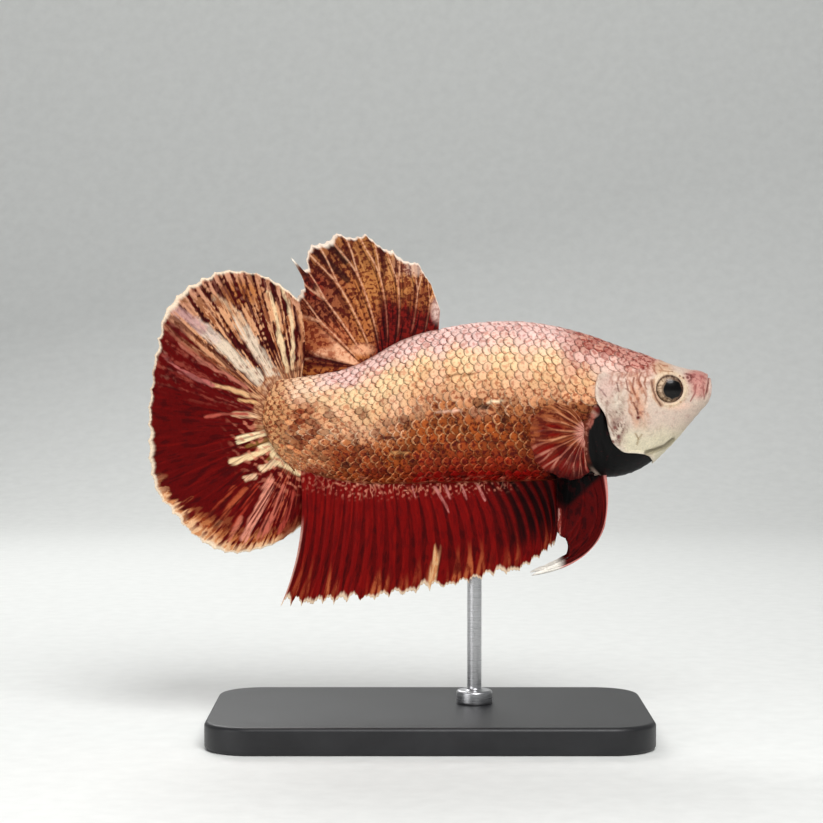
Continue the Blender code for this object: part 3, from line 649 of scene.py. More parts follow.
def head_paint(paint, behind):
    """The head's own markings over the body's: bone-coloured cheeks and chin, a mottled crown with light
    patches behind it, tan over the eye, and a pink snout with paler lips."""
    x, z = paint.x, paint.z
    face = 1 - ease(behind + 0.3 * ripple(x, z, 3, 2), 12.7, 13.3)
    low = 1 - ease(z + 0.9 * ease(x, 20, 24) - 0.1 * (x - 20) + 0.3 * ripple(x, z, 1.2, 18), 2.7, 4.3)
    bare = np.clip(low + ease(x, 24.2, 25.4), 0, 1)
    bare = bare * (1 - under_gills(z, behind))
    paint.wash(face * bare, ground=(205, 184, 168), fleck=(192, 166, 152), share=0.2, edge=(166, 112, 94))
    level = z + 0.25 * ripple(x, z, 2.5, 3)
    chin = face * ease(-level, 2.0, 4.6) * bare
    paint.wash(chin, ground=(216, 205, 178), fleck=(204, 192, 164), share=0.18)
    crown = face * ease(x, 19.0, 22.0) * (1 - ease(x, 24.0, 26.0)) * ease(z, 2.4, 4.0)
    paint.wash(crown, ground=(198, 140, 126), fleck=(148, 78, 68), share=0.42, edge=(132, 62, 54))
    for patch in HEAD_PATCHES:
        paint.dab(*patch)
    return paint


# ---------------------------------------------------------------- meshes


def border(index):
    """The border of a grid of indices, once round."""
    return np.concatenate([index[0], index[1:, -1], index[-1, -2::-1], index[-2:0:-1, 0]])


def grid_faces(rows, columns, closed=False):
    """Quads of a grid of points in rows and columns, and the share along both ways at each corner."""
    steps = columns if closed else columns - 1
    row, column = np.meshgrid(np.arange(rows - 1), np.arange(steps), indexing="ij")
    corner_row = np.stack([row, row, row + 1, row + 1], -1).reshape(-1, 4)
    corner_column = np.stack([column, column + 1, column + 1, column], -1).reshape(-1, 4)
    quads = corner_row * columns + corner_column % columns
    shares = np.stack([corner_column / steps, corner_row / (rows - 1)], -1)
    return quads, shares


def end_fans(rows, columns):
    """Triangles that close the first and the last row of a closed grid on two points after the grid's own,
    and the shares at their corners."""
    column = np.arange(columns)
    faces, shares = [], []
    for row, tip, order in ((0, rows * columns, (1, 0, 2)), (rows - 1, rows * columns + 1, (0, 1, 2))):
        corners = [row * columns + column, row * columns + (column + 1) % columns, np.full(columns, tip)]
        across = (column[:, None] + (0, 1, 0.5)) / columns
        at = np.stack([across, np.full(across.shape, row / (rows - 1))], -1)
        faces.append(np.stack(corners, -1)[:, order])
        shares.append(at[:, order])
    return faces, shares


def with_ends(grid):
    """A grid's values as one list, and after them the means of its first and its last row."""
    ends = [grid[:1].mean(axis=1), grid[-1:].mean(axis=1)]
    return np.concatenate([grid.reshape(-1, *grid.shape[2:]), *ends])


def closed_piece(name, grid, material, paint=None, values=(), **roles):
    """A piece from a grid whose rows are rings, with a fan at each end."""
    rows, columns = grid.shape[:2]
    faces, shares = grid_faces(rows, columns, closed=True)
    fans, fan_shares = end_fans(rows, columns)
    points = with_ends(grid)
    mesh_piece(name, points, [faces, *fans], [shares, *fan_shares], material, paint, values, **roles)


def volume(points, faces):
    """The volume that faces enclose, below 0 where they point inwards."""
    total = 0.0
    for group in faces:
        for corner in range(1, group.shape[1] - 1):
            first, second, third = (points[group[:, i]] for i in (0, corner, corner + 1))
            total += (first * np.cross(second, third)).sum() / 6
    return total


def mesh_piece(name, points, faces, shares, material, paint=None, values=(), replaces=(), flat=None, *, slot):
    """A smooth piece from points in millimetres, groups of faces and the bake map's place at each corner.
    Its colours and other values become attributes of its points. One group of faces may be flat, so that
    its rim is crisp."""
    points = points.reshape(-1, 3)
    if volume(points, faces) < 0:
        faces = [group[:, ::-1] for group in faces]
        shares = [group[:, ::-1] for group in shares]
    mesh = bpy.data.meshes.new(name)
    mesh.vertices.add(len(points))
    mesh.vertices.foreach_set("co", ((points + (0, 0, AXIS_HEIGHT)) * MM).ravel())
    corners = np.concatenate([group.ravel() for group in faces])
    sizes = np.concatenate([np.full(len(group), group.shape[1]) for group in faces])
    mesh.loops.add(len(corners))
    mesh.loops.foreach_set("vertex_index", corners)
    mesh.polygons.add(len(sizes))
    mesh.polygons.foreach_set("loop_start", np.cumsum(sizes) - sizes)
    mesh.update(calc_edges=True)
    mesh.shade_smooth()
    if flat is not None:
        crisp = np.concatenate([np.full(len(group), index == flat) for index, group in enumerate(faces)])
        mesh.attributes.new("sharp_face", "BOOLEAN", "FACE").data.foreach_set("value", crisp)
    bake = mesh.uv_layers.new(name="OFBake")
    bake.data.foreach_set("uv", np.concatenate([group.reshape(-1, 2) for group in shares]).ravel())
    for key, colour in (paint.colours if paint else {}).items():
        layer = mesh.attributes.new(key, "FLOAT_COLOR", "POINT")
        layer.data.foreach_set("color", np.insert(colour.reshape(-1, 3), 3, 1, axis=1).ravel())
    values = dict(values, share=paint.share) if paint else dict(values)
    for key, value in values.items():
        is_vector = np.ndim(value) > 1 and np.shape(value)[-1] == 3
        kind, field = ("FLOAT_VECTOR", "vector") if is_vector else ("FLOAT", "value")
        mesh.attributes.new(key, kind, "POINT").data.foreach_set(field, np.ravel(value).astype(float))
    mesh.materials.append(material)
    piece = bpy.data.objects.new(name, mesh)
    bpy.context.scene.collection.objects.link(piece)
    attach(piece, "root")
    if replaces:
        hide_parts(*replaces)


# ---------------------------------------------------------------- materials


class Finish:
    """Short calls for a material's nodes. Each returns the socket of its result."""

    def __init__(self, name, **constants):
        self.material = bpy.data.materials.new(name)
        self.material.use_nodes = True
        self.tree = self.material.node_tree
        self.shader = self.tree.nodes["Principled BSDF"]
        for socket, value in constants.items():
            self.shader.inputs[socket.replace("_", " ")].default_value = value

    def add(self, kind, inputs, output=0, **settings):
        """A node with these settings and inputs, each a value or a socket."""
        node = self.tree.nodes.new(kind)
        for key, value in settings.items():
            setattr(node, key, value)
        for key, value in inputs.items():
            if isinstance(value, bpy.types.NodeSocket):
                self.tree.links.new(value, node.inputs[key])
            else:
                node.inputs[key].default_value = value
        return node.outputs[output]

    def attribute(self, name, output="Fac"):
        """A value or a colour that the piece's points carry."""
        return self.add("ShaderNodeAttribute", {}, output, attribute_name=name)

    def place(self, stretch=(1, 1, 1)):
        """The piece's own coordinates in millimetres, stretched."""
        own = self.add("ShaderNodeTexCoord", {}, "Object")
        return self.add("ShaderNodeMapping", {0: own, "Scale": [s / MM for s in stretch]})

    def noise(self, where, scale, detail=3.0):
        """Clouds of noise, spread to fill 0 to 1."""
        inputs = {"Vector": where, "Scale": scale, "Detail": detail, "Roughness": 0.55}
        return self.steps(self.add("ShaderNodeTexNoise", inputs), 0.3, 0.7, kind="LINEAR")

    def steps(self, value, low, high, start=0.0, end=1.0, kind="SMOOTHSTEP"):
        """The value's way from low to high, as start to end."""
        inputs = {"Value": value, "From Min": low, "From Max": high, "To Min": start, "To Max": end}
        return self.add("ShaderNodeMapRange", inputs, interpolation_type=kind)

    def sum(self, first, second):
        """Two values added."""
        return self.add("ShaderNodeMath", {0: first, 1: second}, operation="ADD")

    def mix(self, share, first, second):
        """Two colours mixed by a share."""
        inputs = {0: share, 6: self.as_colour(first), 7: self.as_colour(second)}
        return self.add("ShaderNodeMix", inputs, 2, data_type="RGBA")

    @staticmethod
    def as_colour(value):
        """A socket as it is, and a colour from 0 to 255 as linear light."""
        return value if isinstance(value, bpy.types.NodeSocket) else (*linear(value), 1)

    def bump(self, height, strength, distance):
        """A surface that stands up by a height from 0 to 1, so many millimetres at 1."""
        inputs = {"Height": height, "Strength": strength, "Distance": distance * MM}
        return self.add("ShaderNodeBump", inputs, "Normal")

    def feed(self, **sockets):
        """Links results to the shader's sockets."""
        for socket, value in sockets.items():
            self.tree.links.new(value, self.shader.inputs[socket.replace("_", " ")])
        return self.material


def painted(name, where, fleck_scale, grain_scale, rough, bump, edges=False, **constants):
    """A finish from a piece's own paint. Flecks cover their share of the ground where a ragged cloud of
    noise stands highest, the rims of scales lie over both, worn away in places, and a fine grain varies
    brightness, gloss and surface."""
    finish = Finish(name, **constants)
    grain = finish.noise(finish.place(), grain_scale, detail=4.0)
    ragged = finish.steps(grain, 0.0, 1.0, -0.14, 0.14, kind="LINEAR")
    cloud = finish.sum(finish.noise(where(finish), fleck_scale), ragged)
    over = finish.sum(cloud, finish.attribute("share"))
    ground, fleck = finish.attribute("ground", "Color"), finish.attribute("fleck", "Color")
    colour = finish.mix(finish.steps(over, 0.9, 1.1), ground, fleck)
    if edges:
        worn = finish.steps(finish.noise(finish.place(), 0.45), 0.0, 1.0, 0.06, -0.1, kind="LINEAR")
        reach = finish.sum(finish.attribute("reach"), finish.sum(ragged, worn))
        colour = finish.mix(finish.steps(reach, 0.8, 0.98), colour, finish.attribute("edge", "Color"))
    shade = finish.steps(grain, 0.0, 1.0, 0.84, 1.12, kind="LINEAR")
    colour = finish.add("ShaderNodeVectorMath", {0: colour, "Scale": shade}, operation="SCALE")
    roughness = finish.steps(grain, 0.0, 1.0, *rough, kind="LINEAR")
    return finish.feed(Base_Color=colour, Roughness=roughness, Normal=finish.bump(grain, *bump))


def along_rays(finish):
    """Coordinates that run across and along a fin's rays, so that flecks lie as streaks along them."""
    return finish.attribute("along", "Vector")


# The wet gloss that skin and scales share
WET = {"rough": (0.36, 0.55), "Coat_Weight": 0.04, "Coat_Roughness": 0.25}


# ---------------------------------------------------------------- skin


def head_relief(x, z):
    """Height of the head's details over the body's surface at places in side view: bells and strokes for
    the rim and the pit of the eye, the mouth and its lips, the nostrils and the folds between the plates,
    ribs that fan out over the gill cover, and a slight unevenness."""
    eye = from_eye(x, z)
    height = 0.17 * bell(eye - 1.7, 0.2) - 0.8 * (1 - ease(eye, 1.05, 1.58))
    (low_x, low_z), (high_x, high_z) = MOUTH
    length = math.hypot(high_x - low_x, high_z - low_z)
    up_x, up_z = (high_x - low_x) / length, (high_z - low_z) / length
    ahead = (x - low_x) * up_z - (z - low_z) * up_x
    upwards = (x - low_x) * up_x + (z - low_z) * up_z
    height -= 0.32 * bell(ahead, 0.075) * ease(upwards, -0.35, 0.3)
    height += 0.1 * (bell(ahead - 0.24, 0.14) + bell(ahead + 0.24, 0.14)) * ease(upwards, -0.8, 0.2)
    height += 0.12 * bell(ahead + 0.75, 0.32) * bell(upwards - 0.9, 1.1)
    height -= 0.07 * bell(ahead + 1.2, 0.14) * bell(upwards - 0.6, 0.9)
    for nostril, size in ((FRONT_NOSTRIL, 1.0), (REAR_NOSTRIL, 0.7)):
        away = np.hypot(x - nostril[0], z - nostril[1]) / size
        height += size * (0.1 * bell(away - 0.22, 0.08) - 0.3 * bell(away, 0.12))
    height -= 0.16 * stroke(x, z, EYE_FOLD, 0.45)
    height += 0.07 * stroke(x + 0.3, z, EYE_FOLD, 0.6)
    height -= 0.1 * stroke(x, z, CHEEK_LINE, 0.5)
    height += 0.09 * stroke(x - 0.35, z, CHEEK_LINE, 0.8)
    height -= 0.16 * stroke(x, z, THROAT_LINE, 0.5)
    from_hinge, turn = round_hinge(x, z)
    cover = ease(from_hinge, 1.0, 2.2) * ease(-x, -21.8, -21.2)
    height += 0.035 * np.sin(22 * turn + 2 * ripple(x, z, 4, 5)) * cover
    return height + 0.012 * ripple(x, z, 0.9, 6)


def skin_grid():
    """Rows of the skin as distances behind the snout, heights over the body's surface and how far each
    point belongs to the gill membrane. Rows follow the cover's edge, fold in under it, cross the membrane
    to the trunk and run on to the tail."""
    angle = -math.pi / 2 + np.arange(SKIN_COLUMNS) / SKIN_COLUMNS * 2 * math.pi
    tilt = tilt_of(angle)
    edge = read_table(GILL_LINE, tilt)
    fold = (0.5 + 0.5 * ease(tilt, -85, -62)) * (1 - ease(tilt, 27, 34))
    share = (np.linspace(0, 1, HEAD_ROWS) ** ROW_CROWDING)[:, None]
    behind = FIRST_ROW + (edge - FIRST_ROW) * share
    near_edge = ease(edge - behind, 0.9, 0.0) * fold
    height = COVER_PROUD * near_edge - FACE_DEPTH
    plain = 0.02 * np.arange(1, len(EDGE_FOLD) + 1)[:, None]
    back, down = (np.array(column)[:, None] for column in zip(*EDGE_FOLD, strict=True))
    fold_behind = edge + mixed(plain, back, fold)
    fold_height = -FACE_DEPTH + fold * (COVER_PROUD + down)
    collar = np.maximum(read_table(COLLAR_LINE, tilt), fold_behind[-1] + 0.03)
    share = np.linspace(0, 1, MEMBRANE_ROWS + 1)[1:, None]
    membrane_behind = mixed(fold_behind[-1], collar, share)
    arch = np.sin(math.pi * share)
    ruffle = MEMBRANE_RUFFLE * np.sin(membrane_behind * 7 + 3 * np.sin(np.radians(tilt) * 5)) * arch
    membrane_height = mixed(fold_height[-1], -SKIN_DEPTH, share**2) + fold * (ruffle + MEMBRANE_ARCH * arch)
    share = np.linspace(0, 1, TRUNK_ROWS + 1)[1:, None]
    trunk_behind = mixed(collar, BODY_END + TAIL_FLESH, share)
    trunk_height = np.full(trunk_behind.shape, -SKIN_DEPTH)
    behind = np.concatenate([behind, fold_behind, membrane_behind, trunk_behind])
    height = np.concatenate([height, fold_height, membrane_height, trunk_height])
    dark = np.zeros(behind.shape)
    black_from, black_to = HEAD_ROWS + EDGE_ROWS, HEAD_ROWS + len(EDGE_FOLD) + MEMBRANE_ROWS
    dark[black_from:black_to] = 1 - ease(tilt, 2, 10)
    scaled = ease(behind - scale_front(tilt), -0.6, 0.4) * (1 - dark)
    height = np.where(behind < collar, mixed(height, -SKIN_DEPTH, scaled * (1 - fold)), height)
    return behind, np.broadcast_to(angle, behind.shape), height, dark


def make_skin():
    """The skin: the grid above stood off the body's surface, with the head's relief, a fold of flesh behind
    the gill membrane and a low sheath along the roots of the middle fins."""
    behind, angle, height, dark = skin_grid()
    tilt = tilt_of(angle)
    flat = body_point(behind, angle)
    x, z = flat[..., 0], flat[..., 2]
    height = height + head_relief(x, z) * (1 - ease(behind, 12.5, 13.5)) * (1 - dark)
    shoulder = bell(behind - read_table(COLLAR_LINE, tilt) - 0.3, 0.3)
    shoulder = shoulder * ease(tilt, -54, -40) * (1 - ease(tilt, -8, 2))
    sheath = bell(flat[..., 1], 0.6) * ease(behind, 12, 18)
    dorsal = ease(-x, -1.6, -0.2) * (1 - ease(-x, 9, 10.5)) * (z > 0)
    anal = ease(-x, -15, -13) * (1 - ease(-x, 12, 14)) * (z < 0)
    height = height + SHOULDER_HEIGHT * shoulder + SHEATH_HEIGHT * sheath * (dorsal + anal)
    points = flat + outwards(behind, angle) * height[..., None]
    from_edge = read_table(GILL_LINE, tilt) - behind
    grids = (x, z, behind, dark, shoulder, from_edge)
    x, z, behind, dark, shoulder, from_edge = (with_ends(grid) for grid in grids)
    paint = head_paint(body_paint(x, z, behind), behind)
    # The skin behind the scales' front, half brown: under the scales it shows only in the gaps between them,
    # as painted shade
    paint.wash(0.5 * ease(behind, 13.4, 14.0), ground=BROWN, fleck=BROWN)
    add_flank_marks(paint)
    add_head_marks(paint, from_edge)
    paint.wash(0.8 * shoulder, ground=(112, 44, 32), fleck=(176, 110, 90), share=0.45)
    paint.wash(dark, ground=BLACK, fleck=(36, 1, 4), share=0.14)
    paint.dab((18.0, -0.95), (0.5, 0.8), ground=(92, 18, 12), fleck=(112, 44, 34))
    paint.line(((17.55, -1.4), (17.6, -2.2), (17.3, -2.9)), 0.32, (164, 94, 80), 0.85)
    paint.dab((17.2, -1.7), (0.26, 0.28), ground=DARK_BROWN, fleck=DARK_BROWN)
    material = painted("wet_skin", Finish.place, 1.9, 5.0, bump=(0.2, 0.05), Specular_IOR_Level=0.12, **WET)
    closed_piece("fish_skin", points, material, paint, replaces=FLESH, slot="head_skin")


def paint_plates(paint, turned_x, turned_z):
    """Bars over the cheek's plates, dark where a wandering value stands high and pale where it stands low,
    and rust along the groove between them."""
    x, z = paint.x, paint.z
    plates = ease(x, 18.9, 20.2) * (1 - ease(x, 23.4, 24.2)) * ease(z, -2.8, -1.0)
    bars = ripple(2.6 * turned_x + 0.5 * z, 0.6 * turned_z, 1.6, 14)
    paint.wash(0.75 * plates * ease(bars, 0.1, 0.8), ground=(172, 118, 94), fleck=(138, 80, 58))
    paint.wash(0.6 * plates * ease(-bars, 0.2, 0.9), ground=(224, 200, 180), fleck=(208, 178, 158))
    rust = bell(x - 22.3 + 0.12 * (z - 1), 0.75) * ease(z, -3.6, -1.8) * (1 - ease(z, 2.6, 3.6))
    rust = rust * (0.75 + 0.25 * ripple(x, 0.5 * z, 0.9, 15))
    paint.wash(0.85 * rust, ground=(208, 144, 108), fleck=(158, 88, 60), share=0.45)


def paint_gill_cover(paint, from_edge):
    """Streaks that fan out from the cover's hinge, two soft patches, blots and a network towards the throat,
    and a pale rim. The cover's free edge lies behind each point by from_edge."""
    x, z = paint.x, paint.z
    from_hinge, turn = round_hinge(x, z)
    cover = ease(from_hinge, 1.2, 2.6) * ease(-x, -21.6, -20.6)
    cover = cover * (1 - ease(z, 2.4, 3.2)) * ease(x, 17.4, 18.0)
    streak = ease(np.sin(17 * turn + 1.6 * ripple(x, z, 3, 8)), 0.0, 0.9)
    paint.wash(0.7 * cover * streak, ground=(168, 144, 128), fleck=(138, 110, 98))
    paint.wash(0.6 * cover * (1 - streak), ground=(202, 182, 166), fleck=(184, 158, 144))
    paint.dab((19.0, 1.4), (1.5, 1.8), 0.7, ground=(206, 172, 160), fleck=(184, 146, 132))
    paint.dab((20.3, -0.4), (0.9, 2.0), 0.5, ground=(206, 196, 178), fleck=(188, 174, 154))
    lower = spot(x, z, (20.0, -3.0), (2.0, 3.2))
    blots = ease(ripple(x, 0.7 * z, 0.9, 9), -0.5, 0.6)
    paint.wash(0.55 * lower * blots, ground=(136, 106, 96), fleck=(104, 70, 62))
    paint.wash(0.95 * lower * net(2.2 * x, 1.6 * z), ground=(104, 70, 60), fleck=(84, 50, 44))
    paint.wash(0.65 * cover * net(1.7 * x, 1.4 * z), ground=(156, 118, 106), fleck=(128, 88, 76))
    rim = bell(from_edge - 0.05, 0.22) * ease(-z, -2.6, -1.6)
    paint.wash(0.6 * rim, ground=(226, 212, 196), fleck=(212, 194, 176))


def add_head_marks(paint, from_edge):
    """What lies over the head's paint: plates and gill cover, scale cells over the crown, the ring of the eye
    and painted shade in its socket round the eyeball, and at last the lines, with painted shade along the
    throat, and the spots. The cover's free edge lies behind by from_edge."""
    x, z = paint.x, paint.z
    turned_x, turned_z = x + 0.1 * ripple(x, z, 1.0, 12), z + 0.1 * ripple(x, z, 1.0, 13)
    paint_plates(paint, turned_x, turned_z)
    paint_gill_cover(paint, from_edge)
    over = ease(x, 18.8, 20.0) * (1 - ease(x, 23.6, 24.8)) * ease(z, 1.0, 2.2)
    rims = scale_rims(turned_x, turned_z, 0.95)
    paint.wash(0.65 * over * rims, ground=(158, 96, 78), fleck=(130, 68, 54))
    paint.wash(0.5 * over * (1 - rims), ground=(226, 192, 176), fleck=(204, 154, 140))
    eye = from_eye(x, z)
    ring = bell(eye - 1.75, 0.36)
    paint.wash(0.8 * ring, ground=(226, 200, 168), fleck=(202, 164, 130), share=0.35)
    # The skin of the socket, seen only in the crack round the eyeball, darkened as painted shade
    paint.wash(1 - ease(eye, 1.4, 1.58), ground=(104, 76, 56), fleck=(66, 42, 30))
    for points, width, colour, strength in HEAD_LINES:
        paint.line(points, width, colour, strength)
    for centre, size, colour in HEAD_SPOTS:
        paint.dab(centre, size, ground=colour, fleck=colour)


# ---------------------------------------------------------------- scales


def scale_lattice():
    """Places of the scales of one side: distance behind the snout, angle, width, length and row. Rows stand
    at even shares of the way round from belly to back, and every second row is set back by half a step."""
    steps = []
    place = SCALES_FROM
    while place < SCALES_TO:
        steps.append(place)
        place += mixed(PITCH_FRONT, PITCH_REAR, (place - SCALES_FROM) / (BODY_END - SCALES_FROM)) / 2
    behind = np.array(steps)
    around = np.linspace(-math.pi / 2, math.pi / 2, 181)
    ring = body_point(np.minimum(behind, BODY_END)[:, None], around)
    run = np.cumsum(np.linalg.norm(np.diff(ring, axis=1), axis=-1), axis=1)
    girth = run[:, -1]
    shares = np.arange(SCALE_ROWS + 1) / SCALE_ROWS
    angle = np.array([np.interp(shares * r[-1], np.concatenate([[0], r]), around) for r in run])
    index, row = np.meshgrid(np.arange(len(behind)), np.arange(SCALE_ROWS + 1), indexing="ij")
    kept = (index + row) % 2 == 0
    kept &= behind[:, None] > scale_front(tilt_of(angle))
    x = SNOUT_X - behind[:, None]
    for edge_row, (rear, front) in ((SCALE_ROWS, DORSAL_ROOT), (0, ANAL_ROOT)):
        kept &= ~((row == edge_row) & (x < front) & (x > rear))
    width = SCALE_WIDTH * girth / SCALE_ROWS
    # A row holds every second step, so its pitch is two of them
    length = SCALE_LENGTH * 2 * np.gradient(behind)
    columns = (np.broadcast_to(column[:, None], kept.shape)[kept] for column in (behind, width, length))
    behind, wide, long = columns
    return behind, angle[kept], wide, long, row[kept]


def scale_disc():
    """A square grid drawn into a disc: its places across and lengthwise, and at the end the point under its
    middle."""
    line = np.linspace(-1, 1, SCALE_GRID)
    p, q = (v.ravel() for v in np.meshgrid(line, line, indexing="ij"))
    return np.append(p * np.sqrt(1 - q**2 / 2), 0), np.append(q * np.sqrt(1 - p**2 / 2), 0)


def scale_points(behind, angle, wide, long, random):
    """Each scale is the disc with a blunt tip, a little turned, sized and moved at random, and stretched to
    an ellipse on the body's surface. Its top rises from the root to the free end, is crowned across and
    rolls down at the rim, which closes on the point under its middle."""
    disc_x, disc_y = scale_disc()
    count = len(behind)
    blunt = disc_y + 0.12 * np.clip(disc_y, 0, 1) * (1 - np.abs(disc_x))
    turn = random.normal(-0.06, 0.09, count)[:, None]
    size = 1 + random.normal(0, 0.05, count)[:, None]
    sideways = (disc_x * np.cos(turn) - blunt * np.sin(turn)) * size
    rearwards = (disc_x * np.sin(turn) + blunt * np.cos(turn)) * size
    rearwards = rearwards + random.normal(0, 0.06, count)[:, None]
    centre = np.minimum(behind, SCALES_TO)
    around = body_point(centre, angle + SMALL_STEP) - body_point(centre, angle - SMALL_STEP)
    around = np.linalg.norm(around, axis=-1) / (2 * SMALL_STEP)
    place = behind[:, None] + rearwards * long[:, None] / 2
    place = np.minimum(place, BODY_END + TAIL_FLESH - 0.05)
    spread = angle[:, None] + sideways * (wide / np.maximum(around, 0.3))[:, None] / 2
    rise = ((disc_y + 1) / 2) ** 0.8
    height = SCALE_ROOT + SCALE_RISE * rise + SCALE_CROWN * (1 - disc_x**2) * rise
    height = height - SCALE_CROWN * ease(np.hypot(disc_x, disc_y), 0.7, 1.0)
    height = height + random.normal(0, 0.008, count)[:, None] * rise
    height[:, -1] = SCALE_UNDER
    return body_point(place, spread) + outwards(place, spread) * height[..., None]


def scale_faces(behind, row):
    """Tops and undersides of all the scales, and the places of their corners on the bake map: a small patch
    for each scale, where its root stands on an unwrap of the skin."""
    index = np.arange(SCALE_GRID**2).reshape(SCALE_GRID, SCALE_GRID)
    rim = border(index)
    under = np.stack([np.roll(rim, -1), rim, np.full(len(rim), SCALE_GRID**2)], -1)
    groups = (grid_faces(SCALE_GRID, SCALE_GRID)[0], under)
    starts = (np.arange(len(behind)) * (SCALE_GRID**2 + 1))[:, None, None]
    faces = [(group + starts).reshape(-1, group.shape[1]) for group in groups]
    root = [(behind - SCALES_FROM) / (BODY_END - SCALES_FROM + 2), row / (SCALE_ROWS + 1)]
    root = np.stack(root, -1) * 0.96 + 0.02
    disc_x, disc_y = scale_disc()
    patch = BAKE_PATCH / 2 * np.stack([disc_y, disc_x], -1)
    shares = [(root[:, None, None] + patch[group]).reshape(-1, group.shape[1], 2) for group in groups]
    return faces, shares


def scale_paint(points, middle, random):
    """The fish's paint, drawn towards one colour per scale. Each scale is lighter or darker than its
    neighbours at random, most of all low on the flank. Painted shading makes each scale a little lighter in
    its middle than at its rim, and low on the flank painted shade darkens it towards its root, under the
    free end of the scale in front. Returns the paint and how far each point reaches towards the scale's
    edge, which is strongest behind and below."""
    disc_x, disc_y = scale_disc()
    radius = np.hypot(disc_x, disc_y)
    pull = 0.7
    x = mixed(points[..., 0], middle[:, None, 0], pull)
    z = mixed(points[..., 2], middle[:, None, 2], pull)
    paint = head_paint(body_paint(x, z, SNOUT_X - x), SNOUT_X - x)
    paint.x, paint.z = points[..., 0], points[..., 2]
    add_flank_marks(paint)
    each = (len(points), 1)
    low = 1 - ease(flank_height(middle[:, :1], middle[:, 2:]), -0.5, 1.5)
    tone = 1 + random.normal(0, 1, each) * mixed(0.04, 0.13, low)
    tone = np.clip(tone * mixed(1, 0.62, low * (random.uniform(0, 1, each) < 0.08)), 0.4, 1.5)
    # Painted shading: a scale lighter in its middle than at its rim, and low on the flank darker towards its
    # root, as painted shade under the scale in front
    core = mixed(mixed(1.03, 0.97, radius**2), mixed(0.5, 1.2, (disc_y + 1) / 2), low)
    lights = {"ground": tone * core, "fleck": tone * core, "edge": np.sqrt(tone) * np.ones(len(radius))}
    for name, light in lights.items():
        paint.colours[name] = np.clip(paint.colours[name] * light[..., None], 0, 1)
    lower = np.clip(0.62 * disc_y - 0.8 * disc_x, -1, 1)
    downwards = mixed(0.72 + 0.27 * lower, 0.9 + 0.2 * np.clip(disc_y - 0.3 * disc_x, -1, 1), low)
    worn = mixed(0.2, 0.22, low) * random.uniform(0, 1, each) ** 2
    reach = np.where(disc_y > -0.4, radius, 0.5 * radius) * downwards - worn
    reach[:, -1] = 0.5
    return paint, reach


def make_scales():
    """Overlapping scales over trunk, nape and tail stem, one piece for each side."""
    behind, angle, wide, long, row = scale_lattice()
    random = np.random.default_rng(12)
    points = scale_points(behind, angle, wide, long, random)
    middle = body_point(np.minimum(behind, SCALES_TO), angle)
    paint, reach = scale_paint(points, middle, random)
    faces, shares = scale_faces(behind, row)
    look = {"bump": (0.2, 0.03), "edges": True, "Specular_IOR_Level": 0.08}
    material = painted("scale_enamel", Finish.place, 2.6, 6.0, **look, **WET)
    for word, side in SIDES:
        place = points * (1, -side, 1)
        roles = {"slot": "scales", "flat": 1}
        mesh_piece(f"scales_{word}", place, faces, shares, material, paint, {"reach": reach}, **roles)


# ---------------------------------------------------------------- eyes


def make_eyes():
    """Each eyeball is a flattened ball with its poles sideways. Paint by the distance from its pupil's
    middle gives a large black pupil in a tan iris that is paler behind and below, brown in front and grey
    above, with streaks that run out from the pupil."""
    polar = np.linspace(0, math.pi, EYE_ROWS + 2)[1:-1, None]
    turn = np.arange(EYE_COLUMNS) / EYE_COLUMNS * 2 * math.pi
    unit = [np.cos(turn) * np.sin(polar), -np.cos(polar) + 0 * turn, np.sin(turn) * np.sin(polar)]
    ball = np.stack(unit, -1) * EYE_SIZE + np.array(EYE_CENTRE) * (1, -1, 1)
    x, z = with_ends(ball)[:, 0], with_ends(ball)[:, 2]
    away = np.hypot(x - PUPIL[0], z - PUPIL[1]) + 0.04 * ripple(x, z, 0.8, 21)
    angle = np.arctan2(z - PUPIL[1], x - PUPIL[0])
    paint = Paint(x, z, (150, 122, 96), (98, 72, 54), 0.45)
    paint.wash(ease(z, 1.7, 2.3), ground=(164, 140, 118), fleck=(92, 68, 56), share=0.5)
    paint.dab((24.9, 1.6), (0.9, 1.4), ground=(204, 178, 150), fleck=(156, 128, 102), share=0.38)
    paint.dab((25.4, 0.0), (1.2, 0.8), ground=(196, 174, 146), fleck=(142, 116, 90), share=0.4)
    paint.dab((27.5, 0.7), (0.8, 1.6), ground=(86, 44, 28), fleck=(34, 12, 8), share=0.5)
    paint.wash(0.8 * bell(from_eye(x, z) - 1.43, 0.12), ground=(82, 56, 40), fleck=DARK_BROWN)
    paint.wash(0.8 * bell(away - 1.12, 0.08), ground=(74, 48, 32), fleck=DARK_BROWN)
    paint.wash(1 - ease(away, 0.97, 1.09), ground=BLACK, fleck=BLACK, share=0.0)
    streaks = np.stack([4 * np.cos(angle), 4 * np.sin(angle), 1.2 * away], -1)
    glaze = {"Coat_Weight": 0.3, "Coat_Roughness": 0.12, "Specular_IOR_Level": 0.1}
    material = painted("eye_glaze", along_rays, 1.6, 9.0, rough=(0.25, 0.4), bump=(0.03, 0.01), **glaze)
    for word, side in SIDES:
        roles = {"replaces": [f"eye_{word}"], "slot": "eye"}
        closed_piece(f"eyeball_{word}", ball * (1, -side, 1), material, paint, {"along": streaks}, **roles)


# ---------------------------------------------------------------- fins


